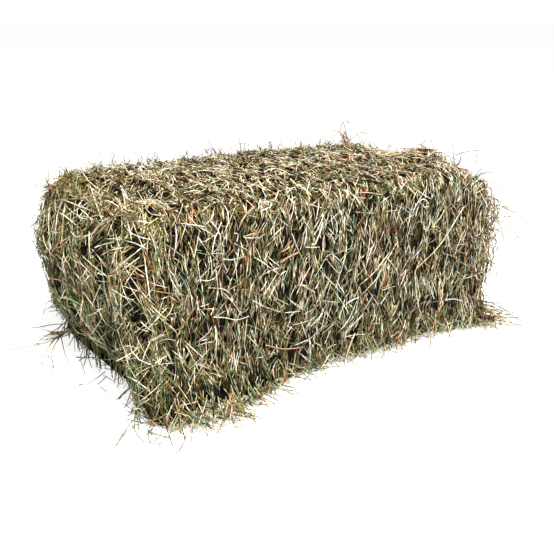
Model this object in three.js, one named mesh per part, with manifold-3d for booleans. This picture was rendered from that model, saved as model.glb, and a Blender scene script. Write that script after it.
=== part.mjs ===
// Square hay bale: pressed flakes of hay standing one behind the other, held together lengthwise
// by two loops of twine. Millimetres, +Z up. The bale lies along X with its long front at -Y, and
// the origin is the middle of the underside.

import * as THREE from 'three';
import Module from 'manifold-3d';

const wasm = await Module();
wasm.setup();

// Driving dimensions of the pressed block
const LENGTH = 880;
const WIDTH = 508;
const HEIGHT = 391;
const FLAKE_THICKNESS = [66, 68, 74, 92, 86, 84, 88, 56, 62, 72, 68, 64];
const FLAKE_GAP = 0.8;

// How the pressed hay swells: over the top, on the long sides and between the twines at the ends
const TOP_SWELL = [12, 15, 13, 9, 10, 7, 8, 4, 6, 2, 4, 0];
const CROWN = 6;
const SIDE_BULGE = 8;
const LEFT_PILLOW = 36;
const RIGHT_PILLOW = 26;
const EDGE_ROUND = 34;
const UNDER_ROUND = 26;

// Ridges of bundled stems around each flake, and the crease where two flakes meet
const CREASE = 7;
const CREASE_UNDER = 2;
const RIDGE = 4;
const LUMP = 4;
const FACE_ROUGHNESS = 6;

// Twine: two loops sunk in grooves
const TWINE_RADIUS = 2.2;
const TWINE_SPREAD = 135;
const TWINE_DEPTH = 15;
const TWINE_LIFT = 6;
const TWINE_CORNER = 34;
const TWINE_SIDES = 5;
const GROOVE_FLOOR = 7.5;
const GROOVE_MOUTH = 12;
const GROOVE_REACH = 70;
const GROOVE_FLARE = 24;

// Locks of stems that stand proud of the block
const LOCKS_PER_END = 9;
const LOCK_ROOT = 12;
const LOCK_WIDTH = 16;
const LOCK_THICKNESS = 9;

// Loose tufts: each has a core that comes out of the hay, and stalks that leave the core
const CORE_WIDTH = 24;
const CORE_THICKNESS = 13;
const STALK_WIDTH = 6;
const STALK_THICKNESS = 4;
const TUFT_CLEARANCE = 0.5;

const HAY_COLOURS = [0x8c8462, 0x7f7c5c, 0x968a66];
const TWINE_COLOUR = 0xa98d5b;
const STALK_COLOUR = 0xb3a878;

const bale = new THREE.Group();

// A repeatable stream of numbers between 0 and 1
function randomStream(seed) {
  let state = seed;
  return () => {
    state = (state + 0x6d2b79f5) | 0;
    let mixed = Math.imul(state ^ (state >>> 15), 1 | state);
    mixed = (mixed + Math.imul(mixed ^ (mixed >>> 7), 61 | mixed)) ^ mixed;
    return ((mixed ^ (mixed >>> 14)) >>> 0) / 4294967296;
  };
}

// A repeatable number between -1 and 1 that depends on three whole numbers
function scatter(first, second, third) {
  const stream = randomStream(first * 7919 + second * 104729 + third * 1299709 + 11);
  stream();
  return stream() * 2 - 1;
}

function toSolid(points, triangles) {
  const vertProperties = new Float32Array(points.flatMap((p) => [p.x, p.y, p.z]));
  const build = (order) => new wasm.Manifold(new wasm.Mesh({
    numProp: 3,
    vertProperties,
    triVerts: new Uint32Array(triangles.flatMap(order)),
  }));
  const solid = build(([a, b, c]) => [a, b, c]);
  return solid.volume() > 0 ? solid : build(([a, b, c]) => [a, c, b]);
}

function band(ring, nextRing, count) {
  const triangles = [];
  for (let i = 0; i < count; i += 1) {
    const j = (i + 1) % count;
    triangles.push([ring + i, ring + j, nextRing + j], [ring + i, nextRing + j, nextRing + i]);
  }
  return triangles;
}

// A closed solid through rings of points, drawn to one point at each end
function ringedSolid(startPoint, rings, endPoint) {
  const count = rings[0].length;
  const points = [startPoint, ...rings.flat(), endPoint];
  const triangles = [];
  const lastRing = 1 + (rings.length - 1) * count;
  for (let i = 0; i < count; i += 1) {
    const j = (i + 1) % count;
    triangles.push([0, 1 + j, 1 + i], [points.length - 1, lastRing + i, lastRing + j]);
  }
  for (let ring = 0; ring < rings.length - 1; ring += 1) {
    triangles.push(...band(1 + ring * count, 1 + (ring + 1) * count, count));
  }
  return toSolid(points, triangles);
}

// A closed solid through rings that come back round to the first one
function loopSolid(rings) {
  const count = rings[0].length;
  const triangles = [];
  for (let ring = 0; ring < rings.length; ring += 1) {
    triangles.push(...band(ring * count, ((ring + 1) % rings.length) * count, count));
  }
  return toSolid(rings.flat(), triangles);
}

function meshOf(name, solid, colour) {
  const data = solid.getMesh();
  const geometry = new THREE.BufferGeometry();
  geometry.setAttribute('position', new THREE.BufferAttribute(new Float32Array(data.vertProperties), 3));
  geometry.setIndex(new THREE.BufferAttribute(new Uint32Array(data.triVerts), 1));
  geometry.computeVertexNormals();
  const material = new THREE.MeshStandardMaterial({ color: colour, roughness: 0.95, metalness: 0 });
  const mesh = new THREE.Mesh(geometry, material);
  mesh.name = name;
  return mesh;
}

// The block's section across its length: a rounded rectangle, each point with its outward
// direction. It runs from the front's foot up the front, back over the top and down the back.
function sectionOutline() {
  const half = WIDTH / 2;
  const outline = [];
  const straight = (from, to, steps, out) => {
    for (let i = 1; i < steps; i += 1) {
      const t = i / steps;
      outline.push({ y: from[0] + (to[0] - from[0]) * t, z: from[1] + (to[1] - from[1]) * t, out });
    }
  };
  const corner = (centre, radius, startAngle) => {
    for (const turn of [0, 45, 90]) {
      const angle = THREE.MathUtils.degToRad(startAngle - turn);
      const out = [Math.cos(angle), Math.sin(angle)];
      outline.push({ y: centre[0] + radius * out[0], z: centre[1] + radius * out[1], out });
    }
  };
  const high = HEIGHT - EDGE_ROUND;
  corner([-half + UNDER_ROUND, UNDER_ROUND], UNDER_ROUND, 270);
  straight([-half, UNDER_ROUND], [-half, high], 5, [-1, 0]);
  corner([-half + EDGE_ROUND, high], EDGE_ROUND, 180);
  straight([-half + EDGE_ROUND, HEIGHT], [half - EDGE_ROUND, HEIGHT], 6, [0, 1]);
  corner([half - EDGE_ROUND, high], EDGE_ROUND, 90);
  straight([half, high], [half, UNDER_ROUND], 5, [1, 0]);
  corner([half - UNDER_ROUND, UNDER_ROUND], UNDER_ROUND, 0);
  straight([half - UNDER_ROUND, 0], [-half + UNDER_ROUND, 0], 2, [0, -1]);
  return outline;
}

const SECTION = sectionOutline();

// One ring of a flake's skin at x. Stems run round the flake, so a ridge keeps its height along
// a whole side and changes from one ring to the next. The underside stays flat on z = 0.
function flakeRing(flake, x, ringSeed, inset, clearance) {
  return SECTION.map((point, i) => {
    const side = Math.round(Math.atan2(point.out[1], point.out[0]) / (Math.PI / 4));
    const ridge = RIDGE * scatter(flake, ringSeed, side + 9);
    const lump = LUMP * scatter(flake, ringSeed * 31 + i, 3);
    const bulge = SIDE_BULGE * Math.sin((Math.PI * point.z) / HEIGHT) * Math.abs(point.out[0]);
    const crown = CROWN * Math.cos((Math.PI * point.y) / WIDTH) * Math.max(0, point.out[1]);
    const swell = TOP_SWELL[flake] * (point.z / HEIGHT) * Math.max(0, point.out[1]);
    const under = point.out[1] < -0.5;
    const grow = (under ? 0 : ridge + lump + bulge + crown + swell - inset) + clearance;
    const lift = under && inset === CREASE ? CREASE_UNDER : 0;
    return new THREE.Vector3(x, point.y + grow * point.out[0], point.z + lift + grow * point.out[1]);
  });
}

// How far an end face swells at height z, as a share: nothing at its top and bottom edges
function belly(z) {
  return 1 - Math.abs((2 * z) / HEIGHT - 1) ** 3;
}

// The rounded outer face of an end flake. It swells out most halfway up, and each smaller ring
// is rough with the cut and folded stems that make up the face.
function endFaceRings(flake, rimX, direction, pillow, clearance) {
  const rim = flakeRing(flake, rimX, 1, CREASE, clearance);
  const rows = [[0.93, 0.62], [0.76, 0.9], [0.52, 1], [0.26, 1]];
  return rows.map(([scale, share], row) => rim.map((point, i) => {
    const z = HEIGHT / 2 + (point.z - HEIGHT / 2) * scale;
    const rough = FACE_ROUGHNESS * scatter(flake + 40, row, i);
    const out = pillow * share * belly(z) + rough + clearance;
    return new THREE.Vector3(rimX + direction * out, point.y * scale, z);
  }));
}

function flakeBody(flake, low, high, clearance) {
  const first = flake === 0;
  const last = flake === FLAKE_THICKNESS.length - 1;
  const span = high - low;
  const rings = [[0, CREASE], [0.16, 0], [0.5, 2], [0.82, -1], [1, CREASE]].map(
    ([share, inset], i) => flakeRing(flake, low + span * share, i + 1, inset, clearance));
  const middle = HEIGHT / 2;
  let start = new THREE.Vector3(low, 0, middle);
  let end = new THREE.Vector3(high, 0, middle);
  if (first) {
    rings.unshift(...endFaceRings(flake, low, -1, LEFT_PILLOW, clearance).reverse());
    start = new THREE.Vector3(low - LEFT_PILLOW, 0, middle);
  }
  if (last) {
    rings.push(...endFaceRings(flake, high, 1, RIGHT_PILLOW, clearance));
    end = new THREE.Vector3(high + RIGHT_PILLOW, 0, middle);
  }
  return ringedSolid(start, rings, end);
}

// A stalk or lock: a three-sided taper along a smooth route, with a blunt root and a fine tip.
// Its ridge looks towards facing, which never runs along the route.
function stalk(route, facing, width, thickness, steps) {
  const curve = new THREE.CatmullRomCurve3(route);
  const rings = [];
  for (let i = 0; i < steps; i += 1) {
    const t = i / steps;
    const centre = curve.getPoint(t);
    const along = curve.getTangent(t);
    const across = facing.clone().cross(along).normalize();
    const up = along.clone().cross(across).normalize();
    const taper = 1 - 0.75 * t;
    rings.push([[-0.5, -0.4], [0.5, -0.4], [0, 0.6]].map(([a, b]) => centre.clone()
      .addScaledVector(across, a * width * taper)
      .addScaledVector(up, b * thickness * taper)));
  }
  const root = curve.getPoint(0).addScaledVector(curve.getTangent(0), -1);
  return ringedSolid(root, rings, curve.getPoint(1));
}

// Locks on one flake's skin. Each leaves the skin at a low angle and stays inside its own flake,
// clear of the twine grooves: on the far top edge, the near top edge, the front and the back.
function skinLocks(flake, low, high, random) {
  const half = WIDTH / 2;
  const top = HEIGHT + TOP_SWELL[flake];
  const middle = (low + high) / 2;
  const slack = (high - low) / 2 - 14;
  const places = [
    { at: [half - 56, top - 5], along: [1, 0.1], out: [0.1, 1] },
    { at: [-half + 66, top - 5], along: [-1, 0], out: [-0.1, 1] },
    { at: [-half - 3, HEIGHT * (0.4 + 0.45 * random())], along: [0, -1], out: [-1, 0] },
    { at: [half + 3, HEIGHT * (0.15 + 0.45 * random())], along: [0, 1], out: [1, 0] },
  ];
  return places.map(({ at, along, out }) => {
    const x = middle + slack * (2 * random() - 1);
    const reach = 60 + 40 * random();
    const proud = 12 + 9 * random();
    const point = (go, rise) => new THREE.Vector3(
      x, at[0] + along[0] * go + out[0] * rise, at[1] + along[1] * go + out[1] * rise);
    const route = [point(-6, -LOCK_ROOT), point(reach * 0.4, proud * 0.6), point(reach, proud)];
    return stalk(route, new THREE.Vector3(0, out[0], out[1]), LOCK_WIDTH, LOCK_THICKNESS, 3);
  });
}

// Locks on an end face, where stems are cut and folded and point every way
function endLocks(faceX, direction, pillow, random) {
  const locks = [];
  const columns = [-0.37, 0, 0.37];
  for (let i = 0; i < LOCKS_PER_END; i += 1) {
    const y = columns[i % 3] * WIDTH + 30 * (random() - 0.5);
    const row = Math.floor(i / 3);
    const z = HEIGHT * (0.24 + 0.26 * row) + 40 * (random() - 0.5);
    const skin = faceX + direction * pillow * belly(z) * (Math.abs(y) > TWINE_SPREAD ? 0.75 : 0.95);
    const angle = 2 * Math.PI * random();
    const reach = 50 + 28 * random();
    const point = (go, rise) => new THREE.Vector3(
      skin + direction * rise, y + 0.6 * Math.cos(angle) * go, z + Math.sin(angle) * go);
    const route = [point(-8, -LOCK_ROOT), point(reach * 0.45, 13), point(reach, 20)];
    locks.push(stalk(route, new THREE.Vector3(direction, 0, 0), LOCK_WIDTH, LOCK_THICKNESS, 3));
  }
  return locks;
}

// The route of one twine loop: a rectangle with rounded corners in an upright plane
function twineRoute(y) {
  const right = LENGTH / 2 - 2;
  const high = HEIGHT - TWINE_DEPTH;
  const route = [];
  const corners = [[1, high - TWINE_CORNER, 90], [1, TWINE_LIFT + TWINE_CORNER, 0],
    [-1, TWINE_LIFT + TWINE_CORNER, 270], [-1, high - TWINE_CORNER, 180]];
  for (const [side, z, startAngle] of corners) {
    for (const turn of [0, 30, 60, 90]) {
      const angle = THREE.MathUtils.degToRad(startAngle - turn);
      const out = new THREE.Vector3(Math.cos(angle), 0, Math.sin(angle));
      const centre = new THREE.Vector3(side * (right - TWINE_CORNER), y, z);
      route.push({ centre: centre.addScaledVector(out, TWINE_CORNER), out });
    }
  }
  return route;
}

function twineLoop(y) {
  const rings = twineRoute(y).map(({ centre, out }) => {
    const ring = [];
    for (let i = 0; i < TWINE_SIDES; i += 1) {
      const angle = (2 * Math.PI * i) / TWINE_SIDES;
      ring.push(centre.clone()
        .addScaledVector(out, TWINE_RADIUS * Math.cos(angle))
        .add(new THREE.Vector3(0, TWINE_RADIUS * Math.sin(angle), 0)));
    }
    return ring;
  });
  return loopSolid(rings);
}

// The knot stands on the loop where it passes up the right end: a fat turn and two cut tails
function knot(y) {
  const middle = new THREE.Vector3(LENGTH / 2 - 2, y, HEIGHT * 0.6);
  const turnSteps = 7;
  const rings = [];
  for (let i = 0; i < turnSteps; i += 1) {
    const angle = (2 * Math.PI * i) / turnSteps;
    const out = new THREE.Vector3(Math.cos(angle), Math.sin(angle), 0.4 * Math.cos(angle));
    const ring = [[2, -3.5], [5.5, -2], [5.5, 2], [2, 3.5]];
    rings.push(ring.map(([go, rise]) => middle.clone()
      .addScaledVector(out, go)
      .add(new THREE.Vector3(0, 0, rise))));
  }
  const tail = (side) => stalk([
    middle.clone(),
    middle.clone().add(new THREE.Vector3(8, 3 * side, -6)),
    middle.clone().add(new THREE.Vector3(11, 5 * side, -34)),
  ], new THREE.Vector3(0, 1, 0), 4, 4, 3);
  return loopSolid(rings).add(tail(1)).add(tail(-1));
}

// What the pull of a twine presses out of the flakes: a channel that opens outward
function grooveCutter(y) {
  const shape = [
    [-GROOVE_FLOOR, GROOVE_FLOOR], [-GROOVE_FLOOR, -GROOVE_FLOOR], [TWINE_DEPTH, -GROOVE_MOUTH],
    [GROOVE_REACH, -GROOVE_FLARE], [GROOVE_REACH, GROOVE_FLARE], [TWINE_DEPTH, GROOVE_MOUTH],
  ];
  return loopSolid(twineRoute(y).map(({ centre, out }) => shape.map(
    ([rise, aside]) => centre.clone().addScaledVector(out, rise).add(new THREE.Vector3(0, aside, 0)))));
}

const grooves = [-TWINE_SPREAD, TWINE_SPREAD].map(grooveCutter);

function flakeSolid(index, low, high, clearance) {
  const random = randomStream(500 + index);
  let solid = flakeBody(index, low - clearance, high + clearance, clearance);
  const locks = skinLocks(index, low, high, random);
  if (index === 0) locks.push(...endLocks(low, -1, LEFT_PILLOW, random));
  if (index === FLAKE_THICKNESS.length - 1) locks.push(...endLocks(high, 1, RIGHT_PILLOW, random));
  for (const lock of locks) solid = solid.add(lock);
  for (const groove of grooves) solid = solid.subtract(groove);
  return solid;
}

// Where each flake starts and ends along the bale
const flakeSpans = FLAKE_THICKNESS.map((thickness, index) => {
  const before = FLAKE_THICKNESS.slice(0, index).reduce((sum, each) => sum + each, 0);
  const start = before - LENGTH / 2;
  return [start + FLAKE_GAP / 2, start + thickness - FLAKE_GAP / 2];
});

// The loose tufts. A core runs from inside the hay to just outside it, and each stalk goes from
// the core's outer end through the points of its route. The plane is the upright or level plane
// that the stalks bend in, given by the direction that it looks.
const LEVEL = new THREE.Vector3(0, 0, 1);
const UPRIGHT = new THREE.Vector3(0.75, 0.66, 0);
const ENDWISE = new THREE.Vector3(0.2, 1, 0);
const TUFTS = [
  {
    name: 'loose_tuft_corner',
    flake: 0,
    facing: LEVEL,
    core: [[-420, -236, 26], [-436, -256, 15], [-447, -270, 8]],
    stalks: [
      [[-391, -303, 4], [-373, -350, 3], [-342, -357, 3], [-289, -366, 3], [-273, -394, 3]],
      [[-420, -308, 5], [-443, -346, 3], [-487, -381, 3]],
      [[-453, -301, 4], [-469, -349, 3]],
      [[-500, -245, 4], [-556, -293, 3]],
      [[-482, -280, 4], [-495, -319, 3], [-476, -330, 3]],
    ],
  },
  {
    name: 'loose_tuft_left',
    flake: 0,
    facing: LEVEL,
    core: [[-425, 214, 30], [-444, 228, 20], [-458, 236, 12]],
    stalks: [
      [[-490, 280, 14], [-533, 372, 4]],
      [[-500, 242, 5], [-566, 239, 3], [-599, 208, 3]],
      [[-500, 170, 5], [-521, 99, 3], [-565, 30, 3]],
    ],
  },
  {
    name: 'loose_tuft_right',
    flake: 11,
    facing: UPRIGHT,
    core: [[438, -214, 300], [452, -232, 300], [470, -250, 292]],
    stalks: [
      [[510, -295, 276], [545, -335, 190], [560, -352, 70]],
      [[498, -280, 262], [520, -304, 190], [524, -310, 105]],
      [[545, -300, 280]],
      [[488, -266, 240], [500, -274, 170], [496, -272, 110]],
    ],
  },
  {
    name: 'loose_tuft_foot',
    flake: 11,
    facing: LEVEL,
    core: [[418, -236, 26], [432, -256, 15], [444, -270, 8]],
    stalks: [
      [[448, -300, 5], [433, -366, 3]],
      [[425, -296, 5], [398, -325, 3]],
      [[500, -320, 5], [502, -392, 3]],
      [[500, -268, 5], [552, -240, 3]],
    ],
  },
  {
    name: 'loose_curl_top',
    flake: 11,
    facing: ENDWISE,
    core: [[404, 206, 372], [408, 216, 388], [412, 224, 402]],
    stalks: [
      [[404, 236, 424], [414, 250, 444], [436, 252, 438]],
      [[390, 232, 418], [366, 238, 426]],
      [[440, 206, 416], [462, 196, 410]],
    ],
  },
];

const toPoint = (place) => new THREE.Vector3(...place);

function tuftSolid({ flake, facing, core, stalks }) {
  const corePoints = core.map(toPoint);
  let solid = stalk(corePoints, facing, CORE_WIDTH, CORE_THICKNESS, 4);
  const outer = new THREE.Vector3().lerpVectors(corePoints[1], corePoints[2], 0.3);
  for (const route of stalks) {
    const steps = 2 + 2 * route.length;
    solid = solid.add(stalk([outer, ...route.map(toPoint)], facing, STALK_WIDTH, STALK_THICKNESS, steps));
  }
  return solid.subtract(flakeSolid(flake, ...flakeSpans[flake], TUFT_CLEARANCE));
}

flakeSpans.forEach(([low, high], index) => {
  const name = `flake_${String(index + 1).padStart(2, '0')}`;
  bale.add(meshOf(name, flakeSolid(index, low, high, 0), HAY_COLOURS[index % HAY_COLOURS.length]));
});

bale.add(meshOf('twine_front', twineLoop(-TWINE_SPREAD).add(knot(-TWINE_SPREAD)), TWINE_COLOUR));
bale.add(meshOf('twine_back', twineLoop(TWINE_SPREAD).add(knot(TWINE_SPREAD)), TWINE_COLOUR));

for (const tuft of TUFTS) bale.add(meshOf(tuft.name, tuftSolid(tuft), STALK_COLOUR));

export default bale;
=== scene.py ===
"""A square hay bale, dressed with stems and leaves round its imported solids. Metres, +Z up."""

import math

import bpy
import numpy as np
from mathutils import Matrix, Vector


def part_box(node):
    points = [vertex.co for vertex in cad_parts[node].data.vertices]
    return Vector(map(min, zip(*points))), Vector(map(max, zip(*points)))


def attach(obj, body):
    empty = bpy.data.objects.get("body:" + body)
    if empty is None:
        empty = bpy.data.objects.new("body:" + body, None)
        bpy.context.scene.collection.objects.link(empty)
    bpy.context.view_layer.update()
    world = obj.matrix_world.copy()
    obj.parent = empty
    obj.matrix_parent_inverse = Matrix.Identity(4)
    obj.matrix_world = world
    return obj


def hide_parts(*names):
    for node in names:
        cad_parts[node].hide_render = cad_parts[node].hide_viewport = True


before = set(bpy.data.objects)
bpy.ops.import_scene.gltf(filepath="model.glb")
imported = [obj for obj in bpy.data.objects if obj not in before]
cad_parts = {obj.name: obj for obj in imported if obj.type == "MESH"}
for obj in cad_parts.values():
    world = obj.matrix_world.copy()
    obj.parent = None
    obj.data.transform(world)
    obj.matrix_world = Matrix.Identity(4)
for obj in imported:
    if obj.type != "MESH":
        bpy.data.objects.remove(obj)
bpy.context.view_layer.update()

MM = 0.001

# The pressed block. Its solids have the same sizes.
HALF = np.array([440, 254, 195.5]) * MM
CENTRE = np.array([0, 0, 195.5]) * MM
HEIGHT = 391 * MM
EDGE_ROUND = 34 * MM
FLAKES = [f"flake_{number:02d}" for number in range(1, 13)]
JOINTS = np.array([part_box(name)[1].x for name in FLAKES[:-1]])

# How the hay swells out of that block, and what share of an end's swelling its two sides lose
LEFT_PILLOW = 36 * MM
RIGHT_PILLOW = 26 * MM
PILLOW_LOSS = 0.3
SIDE_BULGE = 8 * MM
CROWN = 6 * MM
TOP_SWELL = 7 * MM
TOP_LEAN = 0.016

# Lumps, each with its height and how far it runs along X, Y and Z. Small ones have a share of it.
LUMP = 6 * MM
LUMP_SIZE = (0.035, 0.09, 0.09)
SMALL_LUMP = 0.8
SMALL_LUMP_SIZE = (0.014, 0.04, 0.04)
END_LUMP = 12 * MM
END_LUMP_SIZE = (0.2, 0.06, 0.05)

# Where the foot spreads over the floor or is tucked in, and where the left end overhangs
FOOT_HEIGHT = 70 * MM
FRONT_FOOT = 80 * MM
FRONT_FOOT_AT = -330 * MM
FRONT_FOOT_WIDTH = 130 * MM
RIGHT_FOOT = 34 * MM
RIGHT_FOOT_AT = 0.41
RIGHT_FOOT_WIDTH = 0.09
NEAR_CORNER_FOOT = 30 * MM
NEAR_CORNER_SPAN = (0.15, 0.25)
LEFT_TUCK = 46 * MM
LEFT_TUCK_SPAN = (-0.17, -0.07)
LEFT_TUCK_RAGS = (1, 0.04, 0.06)
BROW = 18 * MM
BROW_HEIGHT = 290 * MM
BROW_WIDTH = 80 * MM

# The right end of the top slumps at its front corner, and then has a hump and a dip, each with its
# height, its place along X and Y and its width both ways. The far left corner of the top is cut.
RIGHT_SLUMP = 46 * MM
RIGHT_SLUMP_SPANS = ((0.37, 0.445), (0.12, 0.235))
RIGHT_MOUNDS = [(19 * MM, 0.42, -0.07, 0.05, 0.06), (-20 * MM, 0.43, 0.04, 0.06, 0.05)]
FAR_CORNER_CUT = 17 * MM
FAR_CORNER_SPANS = ((0.38, 0.44), (0.12, 0.24), (0.31, 0.38))

# Pits dented into the left end under its top edge, and painted dark as shade: places across and up
PITS = np.array([(-0.01, 0.365), (-0.075, 0.385), (-0.16, 0.37)])
PIT_WIDTH = 24 * MM
PIT_DEPTH = 14 * MM

# How far along -X the left end begins and is reached, and up Z the top
LEFT_END_SPAN = (0.4, 0.44)
TOP_SPAN = (0.36, 0.39)

# Where it is drawn in: between two flakes, and under the twine
CREASE_DEPTH = 6 * MM
CREASE_WIDTH = 5 * MM
TWINE_SPREAD = 135 * MM
TOP_GROOVE_DEPTH = 22 * MM
UNDER_GROOVE_DEPTH = 10 * MM
GROOVE_WIDTH = 8 * MM

# The valley that each twine makes in the swelling of an end: its width, its depth as a share of
# the swelling, and what is added to that where the skin goes all the way down
END_VALLEY_WIDTH = 15 * MM
END_VALLEY_SHARE = 0.4
END_VALLEY_SUNK_SHARE = 0.5

# Stems and leaves, in millimetres. Each layer: how many, how many lie in one lock, rings of points
# in each, and ranges of length, width and height over the skin. wave is how far a stem weaves in
# and out, spread how much the locks turn in radians, stray the share that lies any way at all, flat
# the share of thin blades, and tone how light the layer is.
# The low tones of the deep and middle layers are painted shade, for the dark between the outer stems.
LAYERS = {
    "deep": dict(count=4200, lock=1, rings=2, length=(50, 90), width=(5, 8), height=(-14, -10),
                 wave=1, spread=0.25, stray=0.05, flat=0.8, tone=0.08),
    "middle": dict(count=15000, lock=5, rings=2, length=(20, 58), width=(1.7, 3.1), height=(-11, -5),
                   wave=1, spread=0.22, stray=0.06, flat=0.6, tone=0.22),
    "outer": dict(count=20500, lock=3, rings=3, length=(15, 52), width=(1.3, 2.5), height=(-5, 1),
                  wave=3, spread=0.25, stray=0.06, flat=0.5, tone=0.82),
    "loose": dict(count=2500, lock=2, rings=4, length=(28, 75), width=(1.4, 2.4), height=(0, 4),
                  wave=3, spread=0.45, stray=0.22, flat=0.4, tone=0.78),
    "arcs": dict(count=420, lock=1, rings=7, length=(45, 110), width=(1.4, 2.5), height=(1, 6),
                 wave=2, spread=0.5, stray=0.4, flat=0.2, tone=0.6, faces=("left", "right")),
    "fringe": dict(count=4200, lock=2, rings=4, length=(20, 75), width=(1.3, 2.3), height=(-2, 2),
                   wave=1, spread=0.5, stray=0.3, flat=0.4, tone=0.72),
    "leaf": dict(count=2400, lock=2, rings=2, length=(10, 28), width=(2.4, 4.8), height=(-4, 2),
                 wave=1, spread=0.5, stray=0.3, flat=1, tone=0.72),
}

# A stem's thickness is a share of its width, and a blade's is less.
STEM = 0.8
BLADE = 0.3

# Stems of these layers and all single ones bridge the creases and grooves, apart from this share
BRIDGING = ("loose", "arcs", "fringe")
BRIDGED = 0.3

# Painted shade: the height over the skin at which stems are darkened to all but black, and at which they
# are left in full light
DARK_HEIGHT = -7
LIGHT_HEIGHT = 1.5
DARK_SHARE = 0.02

# Darker stems are also warmer: the powers of a stem's lightness in its red, green and blue
TINT_POWERS = (0.93, 1.0, 1.5)

# How stems turn, in radians: those on the top are turned from straight across, and all lean to and
# fro in patches. On the ends they swirl, and turn more: from the lower height to the upper one
# they go over from up and down to across.
TOP_TURN = -0.35
LEAN = 0.25
LEAN_SIZE = (0.05, 0.16, 0.16)
END_FACING = 0.75
END_SPREAD = 1.7
SWIRL_HEIGHTS = (0.18, 0.33)
SWIRL = 0.8 * np.pi
SWIRL_SIZE = (0.3, 0.12, 0.12)
STRAY_TURN = 1.5

# How much each stem bends sideways in radians, and what its length and bend are multiplied by
BEND = 0.4
ARC_BEND = 1.1
END_BEND = 1.4
END_LENGTH = 1.35
TOP_LENGTH = 0.8

# How much lightness differs from stem to stem. Those over the given lightness are all pale straw.
TONE_SPREAD = 0.8
PALE_TONE = 1.15
PALE_KIND = 0.48
PALE_KIND_SPREAD = 0.1

# How far from a face's plane stems still count as lying on it, and from an edge as beside it
ON_FACE = 4 * MM
BESIDE_EDGE = 40 * MM

# How thickly each face is covered
FACES = {
    "front": dict(axis=1, side=-1, cover=1.3),
    "back": dict(axis=1, side=1, cover=0.8),
    "top": dict(axis=2, side=1, cover=1.15),
    "under": dict(axis=2, side=-1, cover=0.15),
    "left": dict(axis=0, side=-1, cover=1.1),
    "right": dict(axis=0, side=1, cover=1.0),
}

# How far the stems of one face are scattered beyond its edges, to cover the rounding there
EDGE_OVERLAP = 13 * MM

# The map for baking, the strip of it that is kept for a core, and a core's material slot
BAKE_MAP = "OFBake"
CORE_STRIP = 0.16
CORE_SLOT = 1

# How much of its cell in that map a stem leaves free: beside each of its sides, and past its tips
SIDE_MARGIN = 0.12
TIP_MARGIN = 0.06

# The dark core of a flake: points round it, its depth under the skin, its gap at a joint, the step
# between its rings, and how rough it is. An end flake's core has rings of its own over its face.
CORE_AROUND = 150
CORE_DEPTH = 12 * MM
CORE_START = 0.97
CORE_GAP = 0.4 * MM
CORE_STEP = 6.5 * MM
CORE_LEAST_RINGS = 7
CORE_LOWEST = 1.5 * MM
CORE_ROUGH = 2.5 * MM
CORE_ROUGH_SIZE = (0.006, 0.03, 0.03)
END_RINGS = 20
END_ROUGH = 2 * MM
END_ROUGH_SIZE = (0.02, 0.012, 0.012)

rng = np.random.default_rng(20)


# Camera

VIEW_AZIMUTH = math.radians(-35.2)
VIEW_ELEVATION = math.radians(16.91)
VIEW_DISTANCE = 1.9125
PAN = math.radians(-0.22)
TILT = math.radians(1.70)
FOCAL_PIXELS = 806.2
FRAME_PIXELS = 554
SENSOR = 36.0


def direction_back(azimuth, elevation):
    flat = math.cos(elevation)
    return Vector((math.sin(azimuth) * flat, -math.cos(azimuth) * flat, math.sin(elevation)))


def camera_pose():
    """The camera's place, and the direction it looks in."""
    place = Vector(CENTRE) + direction_back(VIEW_AZIMUTH, VIEW_ELEVATION) * VIEW_DISTANCE
    gaze = -direction_back(VIEW_AZIMUTH + PAN, VIEW_ELEVATION + TILT)
    return place, gaze


def make_camera():
    data = bpy.data.cameras.new("camera")
    data.sensor_width = SENSOR
    data.lens = FOCAL_PIXELS / FRAME_PIXELS * SENSOR
    camera = bpy.data.objects.new("camera", data)
    bpy.context.scene.collection.objects.link(camera)
    camera.location, gaze = camera_pose()
    camera.rotation_mode = "QUATERNION"
    camera.rotation_quaternion = gaze.to_track_quat("-Z", "Y")
    bpy.context.scene.camera = camera


def pixel_rays(pixels):
    """The camera's place, and for each pixel the direction from it."""
    start, gaze = camera_pose()
    right = gaze.cross(Vector((0, 0, 1))).normalized()
    up = right.cross(gaze)
    offset = np.asarray(pixels, float) - FRAME_PIXELS / 2
    rays = np.array(gaze) * FOCAL_PIXELS + np.outer(offset[:, 0], right) - np.outer(offset[:, 1], up)
    return np.array(start), unit(rays)


# Small tools

# Large primes that scatter the cells of a lattice, and how many values a cell can take
HASH_AXES = np.array([73856093, 19349663, 83492791])
HASH_SEED = 2654435761
HASH_MIX = 1274126177
HASH_STEPS = 20011


def unit(vectors):
    return vectors / np.maximum(np.linalg.norm(vectors, axis=-1, keepdims=True), 1e-9)


def turned(vectors, axes, angles):
    """Each vector turned about its own axis, to which it is square."""
    angles = np.asarray(angles)[:, None]
    return vectors * np.cos(angles) + np.cross(axes, vectors) * np.sin(angles)


def between(span, count):
    return rng.uniform(span[0], span[1], count)


def bell(values, width):
    return np.exp(-((values / width) ** 2))


def smooth_step(values, low, high):
    t = np.clip((values - low) / (high - low), 0, 1)
    return t * t * (3 - 2 * t)


def corner_share(places, spans):
    """How far points are into a corner, as a share: each coordinate has its own span to cross."""
    share = 1.0
    for values, (low, high) in zip(places, spans):
        share = share * smooth_step(values, low, high)
    return share


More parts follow.
